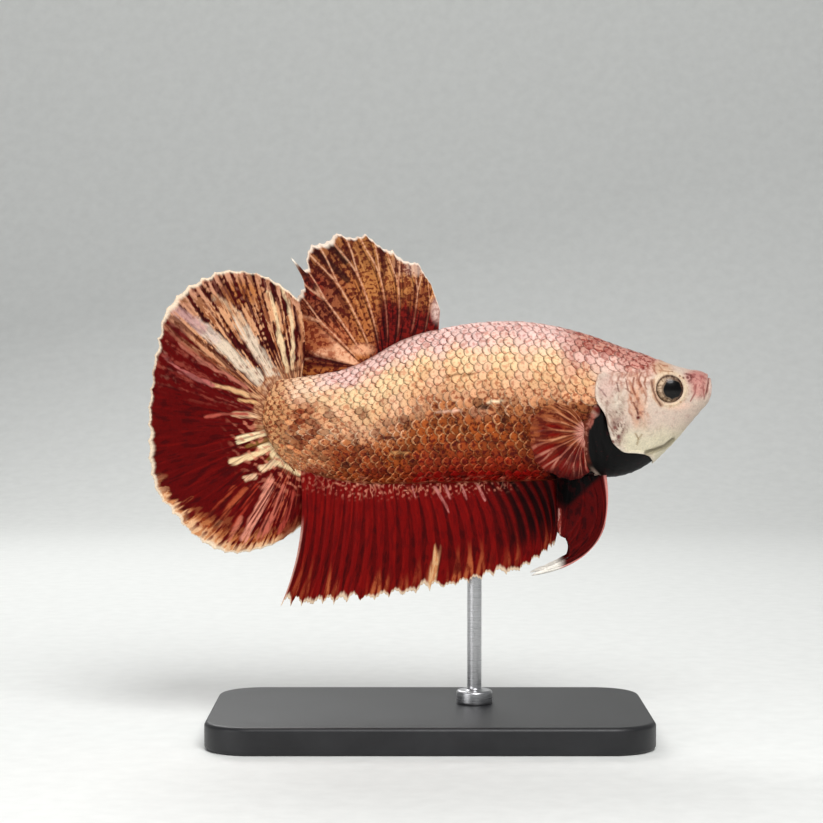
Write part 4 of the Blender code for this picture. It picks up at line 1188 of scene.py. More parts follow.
def fin_sheet(rays, columns, rows, lean, outline=None, *, sink, notch, tips, filament=None):
    """A fin as a grid of points: columns across from the first ray to the last, and rows out along each ray,
    which bows forwards. Roots are sunk into the body by a share of the length. The edge reaches its full
    length at each of its tips and is notched between, by uneven amounts, and a filament may stand out of it.
    Returns the points and the shares across and out."""
    across = np.linspace(0, 1, columns)
    keys = np.linspace(0, 1, len(rays))
    roots = [0.0 if ray[1] is ON_BODY else ray[1] for ray in rays]
    table = [(ray[0], root, *ray[2:]) for ray, root in zip(rays, roots, strict=True)]
    root_x, root_z, tip_x, tip_z, bow = (smooth(keys, column, across) for column in zip(*table, strict=True))
    if outline is not None:
        root_z = profile(SNOUT_X - root_x, outline) + (-ROOT_SINK if outline == TOP else ROOT_SINK)
    uneven = 1 + 0.5 * ripple(across * tips, 0, 3, 17)
    edge = 1 - notch * uneven * np.abs(np.sin(math.pi * tips * across)) ** 0.8
    edge = edge - 0.3 * notch * np.abs(np.sin(math.pi * 3.7 * tips * across))
    if filament:
        place, length = filament
        beside = bell(np.abs(across - place) - 0.03, 0.02)
        edge = edge + length * bell(across - place, 0.006) - 0.5 * length * beside
    run_x, run_z = (tip_x - root_x) * edge, (tip_z - root_z) * edge
    out = np.linspace(-sink, 1, rows)[:, None]
    swell = 4 * out * (1 - out) * bow / np.hypot(run_x, run_z)
    upwards = np.where(run_z > 0, 1, -1)
    x = root_x + run_x * out + upwards * run_z * swell
    z = root_z + run_z * out - upwards * run_x * swell
    reach = np.clip(out, 0, 1)
    return np.stack([x, lean(across, reach, x, z) + 0 * x, z], -1), across + 0 * x, reach + 0 * x


def ray_ridges(across, out, rays, splits=(0.3, 0.62), width=0.16):
    """1 on a fin ray and 0 between: each ray splits in two at the first share of its length and again at
    the second. The distance from the nearest branch is folded once for each split."""
    away = np.mod(across * rays + 0.5, 1) - 0.5
    for order, split in enumerate(splits):
        away = np.abs(away) - 0.25 / 2**order * ease(out, split, 1.0) ** 0.8
    wide = width * mixed(1, 0.45, np.clip(out * 1.3, 0, 1))
    return np.clip(1 - (away / wide) ** 2, 0, 1) ** 1.5


def fibres(across, out, count, seed):
    """A wandering value that runs along the rays in lines, so many of them across the fin."""
    return ripple(across * count, out * 2.5, 1.6, seed, waves=14)


def fin_piece(name, sheet, across, out, ridges, paint, material, replaces, slot, thickness, span):
    """Both faces of a fin stood off its sheet by half its thickness, and a rim that joins them. The
    thickness is the membrane's and a ray's, and thins towards the edge. The flecks' own coordinates run to
    the span's two values across and out."""
    membrane, ray = thickness
    sides = np.minimum(ease(across, -0.004, 0.02), ease(1 - across, -0.004, 0.02))
    near_edge = np.minimum(ease(1 - out, -0.01, 0.05), sides)
    depth = (membrane + ray * ridges * (1 - 0.45 * out)) * (0.35 + 0.65 * near_edge)
    normal = np.cross(np.gradient(sheet, axis=1), np.gradient(sheet, axis=0))
    normal /= np.maximum(np.linalg.norm(normal, axis=-1, keepdims=True), 1e-9)
    near, far = sheet + normal * depth[..., None] / 2, sheet - normal * depth[..., None] / 2
    rows, columns = across.shape
    count = rows * columns
    front, front_shares = grid_faces(rows, columns)
    back, back_shares = front[:, ::-1] + count, front_shares[:, ::-1]
    index = np.arange(count).reshape(rows, columns)
    rim = border(index)
    beside = np.roll(rim, -1)
    band = np.stack([beside, rim, rim + count, beside + count], -1)
    band_shares = np.stack([across, out], -1).reshape(-1, 2)[band % count]
    half = np.array([0.49, 0.98])
    shares = [front_shares * half + 0.005, back_shares * half + (0.505, 0.005), band_shares * half + 0.005]
    for key, colours in paint.colours.items():
        paint.colours[key] = np.concatenate([colours.reshape(-1, 3)] * 2)
    paint.share = np.concatenate([paint.share.ravel()] * 2)
    along = np.stack([across * span[0], out * span[1], 0 * out], -1).reshape(-1, 3)
    values = {"along": np.concatenate([along] * 2)}
    points = np.concatenate([near.reshape(-1, 3), far.reshape(-1, 3)])
    roles = {"replaces": replaces, "slot": slot}
    mesh_piece(name, points, [front, back, band], shares, material, paint, values, **roles)


def pale_rim(paint, out, across, depth, colour=(232, 206, 176)):
    """A pale rim along the fin's edge, of uneven depth."""
    uneven = depth * (1 + 0.5 * ripple(across * 60, out, 5, 31))
    mask = 0.9 * (1 - ease(1 - out, 0.4 * uneven, 1.3 * uneven))
    paint.wash(mask, ground=colour, fleck=colour, share=0.1)


# How far each fin stands from the middle plane, to the left or for paired fins outwards, by its shares
# across and out and by its places in side view: its own lean, and waves that grow towards the edge


def dorsal_lean(across, out, x, z):
    """To the left behind, with slow waves."""
    return 0.75 * across * out + 0.2 * out * np.sin(9 * across)


def caudal_lean(across, out, x, z):
    """The upper lobe to the right and the lower one to the left, with waves."""
    return -0.8 * (1 - 2 * across) * np.sqrt(out) + 0.25 * out * np.sin(14 * across)


def anal_lean(across, out, x, z):
    """To the right at the rear, with waves."""
    return -0.75 * across**3 * out + 0.25 * out * np.sin(16 * across)


def pelvic_lean(across, out, x, z):
    """Off the middle plane by the stance."""
    return PELVIC_STANCE[0] + PELVIC_STANCE[1] * out


def pectoral_lean(across, out, x, z):
    """From just off the flank at the root, out past the widest place that the fin lies over."""
    flank = -body_point(*on_flank(x, z))[..., 1]
    beside = flank + (flank.max() - flank) * ease(out, 0, 0.8)
    return beside + PECTORAL_STANCE[0] + PECTORAL_STANCE[1] * out + 0.15 * out * np.cos(12 * across)


def paint_dorsal_membrane(paint, across, out):
    """Gold in front, dark brown behind, a maroon front below with black lines in it, a brown wash and a pale
    shoulder above, dark and light lines along the rays and two dark bands at the rear tip. Returns 1 on the
    maroon front."""
    x, z = paint.x, paint.z
    golden = ease(x, -9.6, -6.0) * ease(z + 0.6 * x, 5.0, 8.5)
    paint.wash(0.7 * golden, ground=(178, 116, 62), fleck=(112, 50, 26))
    rear = ease(-x, 7.6, 11.0) * (1 - ease(z - 0.3 * x, 19.0, 21.5))
    paint.wash(rear, ground=(136, 72, 46), fleck=(72, 18, 12), share=0.5)
    paint.dab((-12.9, 12.4), (2.2, 2.4), 0.85, ground=(116, 26, 20), fleck=(58, 4, 4))
    paint.dab((-10.6, 7.2), (3.4, 2.0), ground=(176, 100, 64), fleck=(116, 46, 26), share=0.5)
    strand = fibres(across, out, 64, 61)
    front = ease(x - 0.15 * (z - 8), -6.9, -5.0) * (1 - ease(z + 0.25 * x + 0.5 * strand, 8.8, 11.6))
    paint.wash(front, ground=(106, 18, 13), fleck=(68, 8, 6), share=0.5)
    paint.wash(front * ease(strand, 0.3, 0.8), ground=(52, 4, 5), fleck=(32, 2, 4))
    upper = ease(z + 0.3 * strand, 12.6, 15.4)
    paint.wash(0.6 * upper, ground=(126, 78, 42), fleck=(74, 28, 15))
    shoulder = ease(x, -5.6, -3.2) * ease(z + 0.5 * strand, 12.6, 14.8)
    paint.wash(0.8 * shoulder, ground=(166, 116, 90), fleck=(98, 42, 30), share=0.5)
    lines = ease(strand, 0.35, 0.8) * ease(out, 0.15, 0.5) * (1 - front)
    paint.wash((0.7 + 0.15 * upper) * lines, ground=(72, 18, 11), fleck=(54, 12, 8))
    paint.dab((-1.2, 11.9), (1.5, 1.8), 0.75, ground=(106, 38, 24), fleck=(66, 12, 9))
    light = ease(-strand, 0.3, 0.9) * (1 - front) * (1 - rear)
    paint.wash(0.4 * light, ground=(200, 142, 88), fleck=(156, 92, 50))
    paint.line(((-11.6, 17.3), (-10.4, 16.6), (-9.2, 15.2)), 1.1, (34, 10, 8), 0.9)
    paint.line(((-12.4, 16.1), (-11.0, 15.0), (-9.0, 13.1)), 0.9, (44, 12, 10), 0.85)
    return front


def paint_dorsal_root(paint, across, out):
    """At the rear root a brown wedge with a peach foot, a dark line behind it, and a brown pocket between
    dark edges."""
    wedge = ease(across, 0.812, 0.832) * (1 - ease(across, 0.885, 0.9))
    uneven = 0.12 * ripple(paint.x, paint.z, 1.6, 62)
    peach = wedge * (1 - ease(out + uneven, 0.28, 0.66)) * ease(out, 0.0, 0.05)
    paint.wash(wedge, ground=(164, 92, 56), fleck=(112, 42, 24), share=0.5)
    paint.wash(peach, ground=(224, 168, 132), fleck=(194, 124, 90), share=0.32)
    paint.dab((-7.4, 5.5), (1.8, 0.9), 0.8, ground=(230, 168, 130), fleck=(192, 122, 90), share=0.3)
    paint.wash(bell(across - 0.908, 0.011), ground=(66, 8, 6), fleck=(48, 6, 5))
    pocket = ease(across, 0.918, 0.932)
    paint.wash(pocket, ground=(150, 84, 40), fleck=(88, 26, 12), share=0.45)
    paint.wash(pocket * (1 - ease(across, 0.93, 0.965)), ground=(74, 10, 7), fleck=(52, 6, 5))
    paint.wash(0.9 * bell(across - 1, 0.012), ground=(80, 22, 12), fleck=(60, 12, 8))


def make_dorsal_fin(material):
    """Copper mottled with brown, with a pale line along each ray and a painted shadow of the ray as a dark
    line beside it, pale front edges and a cream rim."""
    shape = {"sink": 0.08, "notch": 0.05, "tips": 10, "filament": (0.7, 0.12)}
    sheet, across, out = fin_sheet(DORSAL_RAYS, 361, 90, dorsal_lean, TOP, **shape)
    rays = {"rays": 10, "splits": (0.6,), "width": 0.11}
    ridges = ray_ridges(across, out, **rays)
    paint = Paint(sheet[..., 0], sheet[..., 2], (168, 98, 52), (92, 32, 18), 0.45)
    front = paint_dorsal_membrane(paint, across, out)
    # A dark line to one side of each ray: a painted shadow of the ray
    beside = ray_ridges(across - 0.016, out, **rays) * ease(out, 0.02, 0.12)
    paint.wash(0.8 * beside, ground=(60, 12, 9), fleck=(46, 10, 8))
    pale = ridges * ease(out, 0.02, 0.2) * (1 - 0.75 * front)
    paint.wash(0.75 * pale, ground=(220, 166, 132), fleck=(192, 126, 92))
    paint_dorsal_root(paint, across, out)
    paint.dab((0.8, 9.8), (0.9, 1.9), 0.85, ground=(214, 184, 172), fleck=(178, 140, 130))
    paint.dab((-1.4, 14.3), (1.9, 1.1), 0.5, ground=(206, 176, 160), fleck=(150, 104, 92))
    pale_rim(paint, out, across, 0.03, (236, 218, 200))
    paint.dab((-14.9, 15.5), (1.3, 1.1), ground=(238, 226, 210), fleck=(226, 206, 186))
    fin = (sheet, across, out, ridges, paint)
    make = {"thickness": (0.16, 0.14), "span": (36, 7)}
    fin_piece("fin_dorsal", *fin, material, ["dorsal_fin"], "copper_fin", **make)


def paint_caudal_lobes(paint, across, out, thread, strand):
    """Brighter and darker threads in the crimson, the tan upper lobe with dark lines along its rays, pink
    lines in the middle and the lower lobe, and the lower lobe's tan margin."""
    red = ease(across, 0.4, 0.5)
    paint.wash(0.5 * ease(thread, 0.5, 1.3) * red, ground=(112, 8, 5), fleck=(104, 8, 6))
    paint.wash(0.5 * ease(-strand, 0.5, 1.3) * red, ground=(66, 1, 2), fleck=(58, 1, 2))
    upper = 1 - ease(across + 0.02 * strand, 0.3, 0.35)
    paint.wash(upper, ground=(206, 150, 110), fleck=(142, 82, 50), share=0.42)
    paint.wash(upper * ease(out, 0.7, 0.95), ground=(190, 134, 106), fleck=(150, 100, 70))
    paint.dab((-20.6, 11.6), (3.4, 2.2), 0.9, ground=(172, 104, 52), fleck=(110, 52, 24))
    paint.dab((-27.6, 7.3), (1.9, 1.3), 0.6, ground=(104, 30, 24), fleck=(78, 10, 10))
    paint.dab((-14.4, 6.4), (1.0, 2.6), 0.7, ground=(146, 74, 48), fleck=(96, 32, 20))
    paint.wash(0.4 * upper * ease(thread, 0.2, 1.0), ground=(122, 66, 40), fleck=(90, 30, 18))
    close = 0.5 * (1 - ease(out, 0.35, 0.65))
    paint.wash(upper * ease(strand + close, 0.05, 0.32), ground=(66, 7, 5), fleck=(46, 3, 3))
    middle = ease(across, 0.3, 0.35) * (1 - ease(across, 0.42, 0.46))
    paint.wash(0.8 * middle * ease(-strand, 0.3, 0.8), ground=(138, 60, 48), fleck=(108, 30, 24), share=0.5)
    lower = ease(across + 0.02 * strand, 0.8, 0.88)
    lower = lower * (1 - 0.8 * ease(across, 0.92, 0.95))
    paint.wash(lower * ease(strand, 0.2, 0.8), ground=(164, 76, 52), fleck=(128, 40, 28), share=0.45)
    depth = 0.1 + 0.2 * ease(across, 0.62, 0.78)
    margin = ease(out + 0.05 * strand, 1 - depth, 1 - 0.5 * depth) * ease(across, 0.58, 0.64)
    margin = margin * (1 - 0.85 * ease(across, 0.91, 0.95))
    paint.wash(margin, ground=(186, 112, 66), fleck=(140, 58, 26), share=0.45)
    paint.wash(margin * ease(out, 0.86, 0.95), ground=(224, 176, 134), fleck=(196, 130, 84), share=0.35)
    lines = margin * ease(strand, 0.1, 0.5) * (1 - 0.7 * ease(out, 0.9, 1.0))
    paint.wash(lines, ground=(92, 10, 7), fleck=(78, 8, 6))


def paint_caudal_streaks(paint, across, out, thread, strand):
    """Pale streaks, whole along their middles and broken into fibres beside them. They are more broken
    towards the edge of the upper lobe and low in the lower lobe, and dark specks break the upper ones."""
    x, z = paint.x, paint.z
    upper = 1 - ease(across, 0.4, 0.45)
    loose = np.maximum(0.7 * ease(-z, 8.6, 10.0), 0.95 * ease(out, 0.45, 0.8) * upper)
    ragged = ease(thread + 0.5 * strand, -1.6 + 1.0 * loose, -0.4 + 0.8 * loose)
    for points, width, colour, strength in CAUDAL_STREAKS:
        mask = stroke(x, z, points, width)
        core = stroke(x, z, points, 0.55 * width)
        mask = np.clip(strength * (mask * ragged + 0.5 * core * (1 - 0.8 * loose)), 0, 1)
        paint.wash(mask, ground=colour, fleck=0.82 * np.array(colour), share=0.35)
    broken = ease(0.8 * thread + 0.7 * ripple(x, z, 0.6, 47), 0.7, 1.5) * upper
    paint.wash(0.7 * broken, ground=(124, 76, 62), fleck=(100, 52, 42))


def paint_caudal_root(paint, across, out):
    """Pink specks near the lower root, and the cells of small scales over the fin's own root."""
    x, z = paint.x, paint.z
    speckled = ease(ripple(x, z, 0.7, 45), 0.35, 0.8) * (1 - ease(out, 0.1, 0.42)) * ease(across, 0.42, 0.5)
    paint.wash(0.7 * speckled, ground=(204, 122, 96), fleck=(160, 80, 60))
    sheath = 1 - ease(out + 0.035 * ripple(x, z, 1.0, 48), 0.05, 0.1)
    sheath = sheath * (1 - 0.85 * ease(across, 0.45, 0.58)) * (0.3 + 0.7 * ease(across, 0.1, 0.2))
    cells = scale_rims(x + 0.1 * ripple(x, z, 0.9, 49), z, 0.8)
    paint.wash(0.95 * sheath, ground=(198, 146, 106), fleck=(152, 88, 58), share=0.38)
    paint.wash(0.8 * sheath * cells, ground=(112, 52, 32), fleck=(84, 26, 14))


def make_caudal_fin(material):
    """Crimson with a tan upper lobe, pale streaks, scale cells over the root and a pale rim. Its markings are
    read at places that waver a little."""
    sheet, across, out = fin_sheet(CAUDAL_RAYS, 441, 96, caudal_lean, sink=0.12, notch=0.02, tips=36)
    ridges = ray_ridges(across, out, 12, width=0.13)
    x, z = sheet[..., 0], sheet[..., 2]
    x, z = x + 0.08 * ripple(x, z, 1.3, 41), z + 0.08 * ripple(x, z, 1.3, 42)
    paint = Paint(x, z, (86, 2, 2), (66, 1, 2), 0.35)
    thread = fibres(across, out, 150, 43)
    strand = 0.8 * fibres(across, out, 100, 44) + 0.45 * thread + 0.3 * ripple(x, z, 0.9, 46)
    paint_caudal_lobes(paint, across, out, thread, strand)
    paint_caudal_streaks(paint, across, out, thread, strand)
    paint_caudal_root(paint, across, out)
    pale_rim(paint, out, across, 0.026, (236, 216, 190))
    fin = (sheet, across, out, ridges, paint)
    make = {"thickness": (0.18, 0.14), "span": (70, 5)}
    fin_piece("fin_caudal", *fin, material, ["caudal_fin"], "red_fin", **make)


def make_anal_fin(material):
    """Crimson rays and darker membrane between them, black stripes in front, orange lines near the edge and
    one broad tan ray in the middle, a network of pink at the root and cream tips."""
    sheet, across, out = fin_sheet(ANAL_RAYS, 401, 112, anal_lean, BOTTOM, sink=0.08, notch=0.05, tips=25)
    ridges = ray_ridges(across, out, 25, splits=(0.72,), width=0.36)
    x, z = sheet[..., 0], sheet[..., 2]
    paint = Paint(x, z, (84, 2, 2), (64, 1, 2), 0.4)
    thread = fibres(across, out, 80, 52)
    bright = ray_ridges(across, out, 25, splits=(0.72,), width=0.6)
    paint.wash(0.85 * ease(bright, 0.05, 0.45), ground=(114, 5, 4), fleck=(100, 4, 4))
    paint.wash(0.35 * ease(thread, 0.4, 1.2), ground=(138, 16, 8), fleck=(118, 10, 6))
    front = 1 - ease(across, 0.2, 0.36)
    paint.wash(0.9 * front * (1 - ridges) * (1 - ease(out, 0.55, 0.95)), ground=(16, 1, 1), fleck=(8, 0, 1))
    paint.wash(0.55 * front * ridges, ground=(88, 5, 4), fleck=(70, 3, 3))
    chosen = ease(ripple(across * 25, 0.4 * out, 2.2, 53), -0.4, 0.4)
    orange = np.sqrt(ridges) * chosen * ease(out + 0.12 * ripple(across * 25, 0, 3, 54), 0.66, 0.95)
    orange = orange * (0.35 + 0.65 * ease(across, 0.3, 0.42)) * (1 - 0.7 * ease(across, 0.84, 0.92))
    paint.wash(0.85 * orange, ground=(190, 104, 60), fleck=(146, 62, 32))
    paint.dab((3.3, -18.2), (1.4, 1.5), 0.8, ground=(96, 8, 5), fleck=(76, 3, 3))
    wide = stroke(x, z, ((0.9, -16.2), (0.5, -18.4), (0.1, -21.2)), 1.1) * ease(out + 0.06 * thread, 0.6, 0.8)
    paint.wash(wide, ground=(214, 164, 118), fleck=(196, 130, 84))
    past_front = ease(across, 0.14, 0.3)
    hem = (1 - ease(out + 0.03 * thread, 0.04, 0.14)) * past_front * (1 - 0.65 * ease(-x, 9.0, 11.5))
    paint.wash(0.85 * hem * net(x, z), ground=(216, 146, 118), fleck=(176, 96, 72))
    dots = (1 - ease(out, 0.07, 0.17)) * ease(ripple(x, z, 0.5, 57), 0.55, 0.95) * past_front
    dots = dots * (1 - 0.5 * ease(-x, 9.0, 11.5))
    paint.wash(0.8 * dots, ground=(206, 126, 104), fleck=(172, 86, 68))
    for points in ANAL_STREAKS:
        mask = stroke(x, z, points, 0.42) * ease(thread, -0.3, 0.5)
        paint.wash(0.8 * mask, ground=(196, 124, 116), fleck=(160, 84, 78))
    paint.wash(0.6 * ease(across, 0.987, 0.995) * ease(out, 0.3, 0.5), ground=PALE_PINK, fleck=PINK)
    pale_rim(paint, out, across, 0.028)
    fin = (sheet, across, out, ridges, paint)
    make = {"thickness": (0.16, 0.14), "span": (60, 6)}
    fin_piece("fin_anal", *fin, material, ["anal_fin"], "red_fin", **make)


def make_pelvic_fins(material):
    """Dark red fins, black behind at the root, with a pink leading ray and a slender white tip."""
    for word, side in SIDES:
        sheet, across, out = fin_sheet(PELVIC_RAYS, 73, 150, pelvic_lean, sink=0.06, notch=0.02, tips=5)
        ridges = ray_ridges(across, out, 5, splits=(0.5, 0.8))
        x, z = sheet[..., 0], sheet[..., 2]
        paint = Paint(x, z, (72, 2, 2), (48, 1, 2), 0.4)
        paint.wash(0.6 * ridges, ground=(98, 6, 5), fleck=(80, 4, 4))
        black = 1 - ease(x - 1.1 * (z + 8.8), 17.8, 18.8)
        paint.wash(black * (1 - ease(out, 0.4, 0.7)), ground=BLACK, fleck=RED_BLACK)
        paint.wash(0.7 * stroke(x, z, ((14.2, -12.0), (14.1, -14.6)), 0.5), ground=(150, 60, 50), fleck=PINK)
        edge = 1 - ease(across, 0.05, 0.11)
        paint.wash(edge, ground=(204, 130, 122), fleck=(176, 88, 84), share=0.3)
        white = (1 - ease(x, 13.9, 15.0)) * ease(-z - 0.25 * (x - 14), 16.9, 17.4)
        paint.wash(white, ground=(236, 230, 220), fleck=(226, 216, 202), share=0.2)
        fin = (sheet * (1, side, 1), across, out, ridges, paint)
        make = {"thickness": (0.2, 0.2), "span": (8, 4)}
        fin_piece(f"fin_pelvic_{word}", *fin, material, [f"pelvic_fin_{word}"], "red_fin", **make)


def make_pectoral_fins(material):
    """Fins that look clear: the flank's own colours between the rays, with deep red windows, soft tan rays
    above and pink ones below, each with a dark line of painted shadow beside it, and a dark lower edge."""
    for word, side in SIDES:
        shape = {"sink": 0.06, "notch": 0.03, "tips": 11}
        sheet, across, out = fin_sheet(PECTORAL_RAYS, 199, 70, pectoral_lean, **shape)
        waver = across + 0.006 * np.sin(9 * out + 40 * across)
        ridges = ray_ridges(waver, out, 11, splits=(0.5,), width=0.27)
        x, z = sheet[..., 0], sheet[..., 2]
        paint = body_paint(x, z, SNOUT_X - x)
        paint.wash(0.7 * ease(-z, -0.6, 1.6), ground=(152, 82, 48), fleck=(104, 36, 20), share=0.45)
        paint.wash(ease(-z, 4.0, 5.6), ground=(98, 14, 9), fleck=(68, 6, 4), share=0.45)
        for centre, size in PECTORAL_WINDOWS:
            paint.dab(centre, size, 1.2, ground=(112, 14, 6), fleck=(88, 8, 5))
        shade = ease(fibres(across, out, 30, 71), 0.2, 0.9) * ease(out, 0.1, 0.3)
        paint.wash(0.55 * shade, ground=(94, 34, 20), fleck=(76, 20, 12))
        # A dark line to one side of each ray: a painted shadow of the ray
        beside = ray_ridges(waver - 0.024, out, 11, splits=(0.5,), width=0.3)
        paint.wash(0.6 * beside * ease(out, 0.05, 0.2), ground=(92, 32, 20), fleck=(72, 20, 14))
        shown = ridges * (1 - ease(out + 0.2 * ripple(across * 11, 0, 2.5, 72), 0.6, 1.0))
        paint.wash(0.8 * shown * (1 - ease(-z, 4.0, 5.4)), ground=(200, 136, 98), fleck=(168, 98, 66))
        paint.wash(0.7 * shown * ease(-z, 4.0, 5.4), ground=(194, 128, 106), fleck=(158, 88, 70))
        paint.wash(1 - ease(out, 0.02, 0.2), ground=(204, 144, 128), fleck=(158, 92, 80), share=0.4)
        paint.wash(0.9 * ease(-z, 7.0, 8.4), ground=(52, 5, 5), fleck=(34, 2, 3))
        fin = (sheet * (1, side, 1), across, out, ridges, paint)
        make = {"thickness": (0.12, 0.16), "span": (14, 3)}
        fin_piece(f"fin_pectoral_{word}", *fin, material, [f"pectoral_fin_{word}"], "clear_fin", **make)


def make_fins():
    """All fins, in three finishes of the same make."""
    satin = {"rough": (0.34, 0.6), "bump": (0.25, 0.04), "Specular_IOR_Level": 0.06}
    smoother = dict(satin, rough=(0.3, 0.55), bump=(0.2, 0.04))
    copper = painted("copper_fin_membrane", Finish.place, 2.2, 5.0, **satin)
    red = painted("red_fin_membrane", along_rays, 1.1, 5.0, **satin)
    clear = painted("pectoral_fin_membrane", along_rays, 1.1, 5.0, **smoother)
    make_dorsal_fin(copper)
    make_caudal_fin(red)
    make_anal_fin(red)
    make_pelvic_fins(red)
    make_pectoral_fins(clear)


# ---------------------------------------------------------------- stand


BASE_CORNER, BASE_RIM = 5.0, 0.5  # radii of the plate's corners and of its rims
BASE_INNER = BASE_CORNER - 0.1  # how far inside the plate's outline its last ring lies
ROD_RADIUS, ROD_EDGE = 0.8, 0.3  # of the rod, and of its and its collar's rounded edges
COLLAR_RADIUS, COLLAR_HEIGHT = 2.0, 1.5
ROD_COLUMNS = 72


def node_box(name):
    """A CAD node's lowest and highest corners, in millimetres above the floor."""
    return np.array(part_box(name)) / MM


def make_base(material):
    """A plate: a rectangle's outline with round corners, drawn in along the rounded profile of its rims and
    over its top."""
    low, high = node_box("stand_base")
    centre, half, top = (low + high) / 2, (high - low) / 2, high[2]
    quarter = np.linspace(0, math.pi / 2, 17)
    turn = np.concatenate([quarter + quadrant * math.pi / 2 for quadrant in range(4)])
    corner_x = np.repeat([1, -1, -1, 1], len(quarter)) * (half[0] - BASE_CORNER)
    corner_y = np.repeat([1, 1, -1, -1], len(quarter)) * (half[1] - BASE_CORNER)
    bend = np.linspace(0, math.pi / 2, 9)
    rim = BASE_RIM * (1 - np.cos(bend))
    inset = [[BASE_INNER, BASE_RIM + 0.1], rim[::-1], rim, [BASE_RIM + 0.1, 2.0, BASE_INNER]]
    inset = np.concatenate(inset)[:, None]
    lift = BASE_RIM * np.sin(bend)
    height = np.concatenate([[0, 0], BASE_RIM - lift[::-1], top - BASE_RIM + lift, [top, top, top]])[:, None]
    x = centre[0] + corner_x + (BASE_CORNER - inset) * np.cos(turn)
    y = centre[1] + corner_y + (BASE_CORNER - inset) * np.sin(turn)
    grid = np.stack([x, y, height + 0 * x - AXIS_HEIGHT], -1)
    closed_piece("stand_plate", grid, material, replaces=["stand_base"], slot="base")


def make_rod(material):
    """A rod with a rounded end and a collar on the base: its profile turned round an upright axis."""
    low, high = node_box("stand_rod")
    foot, top = node_box("stand_base")[1][2], high[2]
    bend = np.linspace(0, math.pi / 2, 7)
    inwards, upwards = ROD_EDGE * (1 - np.cos(bend)), ROD_EDGE * np.sin(bend)
    collar_top = foot + COLLAR_HEIGHT
    outline = [
        (0.05, low[2]),
        (ROD_RADIUS, low[2] + 0.05),
        (ROD_RADIUS, foot - 0.1),
        (COLLAR_RADIUS - 0.1, foot - 0.02),
        (COLLAR_RADIUS, foot + 0.08),
        (COLLAR_RADIUS, foot + ROD_EDGE),
        *zip(COLLAR_RADIUS - inwards, collar_top - ROD_EDGE + upwards, strict=True),
        (COLLAR_RADIUS - 0.6, collar_top),
        (ROD_RADIUS + 0.12, collar_top + 0.02),
        (ROD_RADIUS, collar_top + 0.14),
        (ROD_RADIUS, collar_top + 0.5),
        (ROD_RADIUS, top - 2 * ROD_EDGE),
        *zip(ROD_RADIUS - inwards, top - ROD_EDGE + upwards, strict=True),
    ]
    radius, height = (np.array(column)[:, None] for column in zip(*outline, strict=True))
    turn = np.arange(ROD_COLUMNS) / ROD_COLUMNS * 2 * math.pi
    centre = (low + high) / 2
    x, y = centre[0] + radius * np.cos(turn), centre[1] + radius * np.sin(turn)
    grid = np.stack([x, y, height + 0 * x - AXIS_HEIGHT], -1)
    closed_piece("stand_post", grid, material, replaces=["stand_rod"], slot="rod")


def make_stand():
    """Satin black plastic with a fine spark-eroded grain, and brushed steel with rings round the rod."""
    plastic = Finish("satin_black_plastic", Specular_IOR_Level=0.4)
    grain = plastic.noise(plastic.place(), 9.0, detail=5.0)
    cloud = plastic.noise(plastic.place(), 0.25)
    tone = plastic.mix(cloud, (26, 26, 28), (36, 36, 38))
    rough = plastic.steps(grain, 0.0, 1.0, 0.36, 0.5, kind="LINEAR")
    make_base(plastic.feed(Base_Color=tone, Roughness=rough, Normal=plastic.bump(grain, 0.2, 0.03)))
    steel = Finish("brushed_steel", Metallic=1.0)
    rings = steel.noise(steel.place((0.3, 0.3, 14.0)), 1.0, detail=4.0)
    tone = steel.mix(rings, (168, 168, 170), (200, 200, 202))
    rough = steel.steps(rings, 0.0, 1.0, 0.22, 0.4, kind="LINEAR")
    make_rod(steel.feed(Base_Color=tone, Roughness=rough, Normal=steel.bump(rings, 0.15, 0.02)))


# ---------------------------------------------------------------- stage, lights and camera

VIEW_WIDTH = 90.3  # of the picture at the fish
VIEW_CENTRE = (-1.98, 0.0, 35.5)
LENS, SENSOR = 100.0, 36.0
CAMERA_RISE = 2.0  # degrees
# The floor's near end and half width, where it starts to curve up, the curve's radius and its top
FLOOR_NEAR, FLOOR_HALF_WIDTH, FLOOR_FAR, FLOOR_CURVE, FLOOR_TOP = -700.0, 900.0, 260.0, 160.0, 620.0
# Lamps: place, size across and power in watts
LIGHTS = {
    "key_light": ((60, -230, 260), 190, 1.0),
    "fill_light": ((-260, -220, 70), 220, 0.32),
    "back_light": ((-80, 220, 230), 180, 0.45),
}


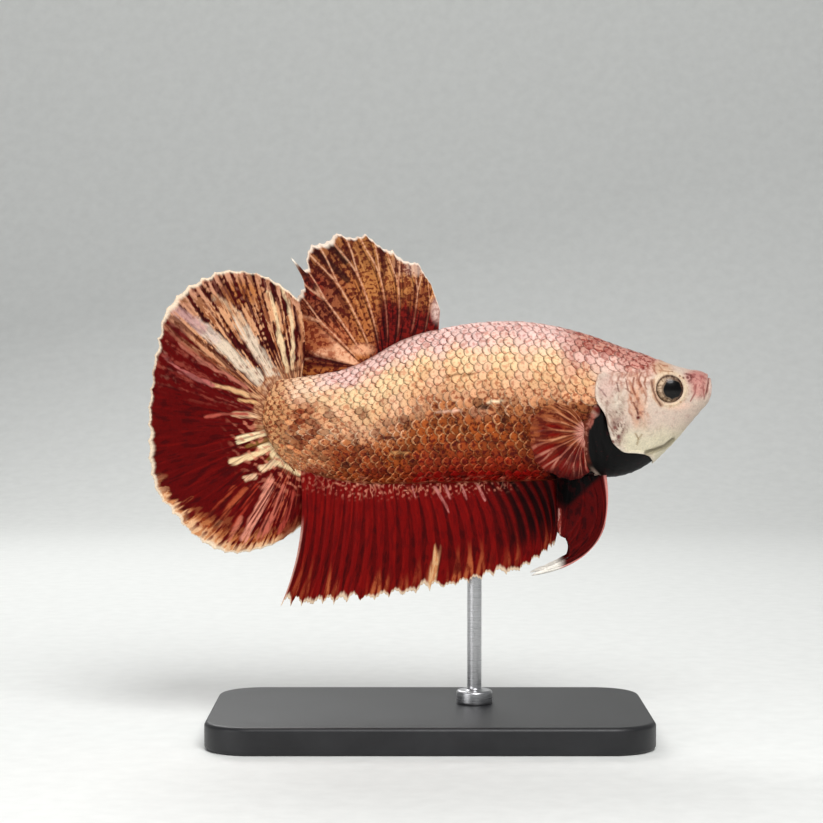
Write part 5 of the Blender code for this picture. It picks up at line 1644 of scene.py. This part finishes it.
def make_stage():
    """A pale floor that curves up into a backdrop, as a profile carried sideways."""
    bend = np.radians(np.linspace(0, 90, 17))
    y = [[FLOOR_NEAR], FLOOR_FAR + FLOOR_CURVE * np.sin(bend), [FLOOR_FAR + FLOOR_CURVE]]
    y = np.concatenate(y)
    z = np.concatenate([[0.0], FLOOR_CURVE * (1 - np.cos(bend)), [FLOOR_TOP]])
    across = np.array([-FLOOR_HALF_WIDTH, FLOOR_HALF_WIDTH])
    grid = np.stack([across + 0 * y[:, None], y[:, None] + 0 * across, z[:, None] + 0 * across], -1)
    quads = grid_faces(len(y), 2)[0]
    mesh = bpy.data.meshes.new("studio_floor")
    mesh.from_pydata((grid.reshape(-1, 3) * MM).tolist(), [], quads[:, ::-1].tolist())
    mesh.shade_smooth()
    paper = Finish("backdrop_paper", Specular_IOR_Level=0.2)
    fibre = paper.noise(paper.place(), 0.4, detail=4.0)
    tone = paper.mix(fibre, (232, 233, 230), (238, 239, 236))
    paper.feed(Base_Color=tone, Roughness=paper.steps(fibre, 0.0, 1.0, 0.7, 0.85, kind="LINEAR"))
    mesh.materials.append(paper.material)
    floor = bpy.data.objects.new("studio_floor", mesh)
    bpy.context.scene.collection.objects.link(floor)


def aim(obj, place, target):
    """Puts an object at a place and turns it to look at the target, both in millimetres."""
    obj.location = np.array(place) * MM
    direction = Vector((np.array(target) - np.array(place)).tolist())
    obj.rotation_euler = direction.to_track_quat("-Z", "Y").to_euler()


def make_lights():
    """A broad key from above and in front, a softer fill, one behind for the fins' edges, and a dim sky."""
    for name, (place, size, power) in LIGHTS.items():
        light = bpy.data.lights.new(name, "AREA")
        light.shape = "DISK"
        light.size = size * MM
        light.energy = power
        lamp = bpy.data.objects.new(name, light)
        bpy.context.scene.collection.objects.link(lamp)
        aim(lamp, place, (0, 0, AXIS_HEIGHT))
    world = bpy.data.worlds.new("studio_sky")
    world.use_nodes = True
    world.node_tree.nodes["Background"].inputs["Color"].default_value = (0.95, 0.97, 1.0, 1)
    world.node_tree.nodes["Background"].inputs["Strength"].default_value = 0.25
    bpy.context.scene.world = world


def make_camera():
    """Level with the fish's right side, a little above it, so that the view is VIEW_WIDTH wide there."""
    camera = bpy.data.objects.new("camera", bpy.data.cameras.new("camera"))
    camera.data.lens = LENS
    camera.data.sensor_width = SENSOR
    camera.data.clip_start = 0.01
    distance = VIEW_WIDTH * LENS / SENSOR
    rise = math.radians(CAMERA_RISE)
    place = np.array(VIEW_CENTRE) + distance * np.array([0, -math.cos(rise), math.sin(rise)])
    bpy.context.scene.collection.objects.link(camera)
    aim(camera, place, VIEW_CENTRE)
    bpy.context.scene.camera = camera
    bpy.context.scene.view_settings.view_transform = "Standard"


make_skin()
make_scales()
make_eyes()
make_fins()
make_stand()
make_stage()
make_lights()
make_camera()
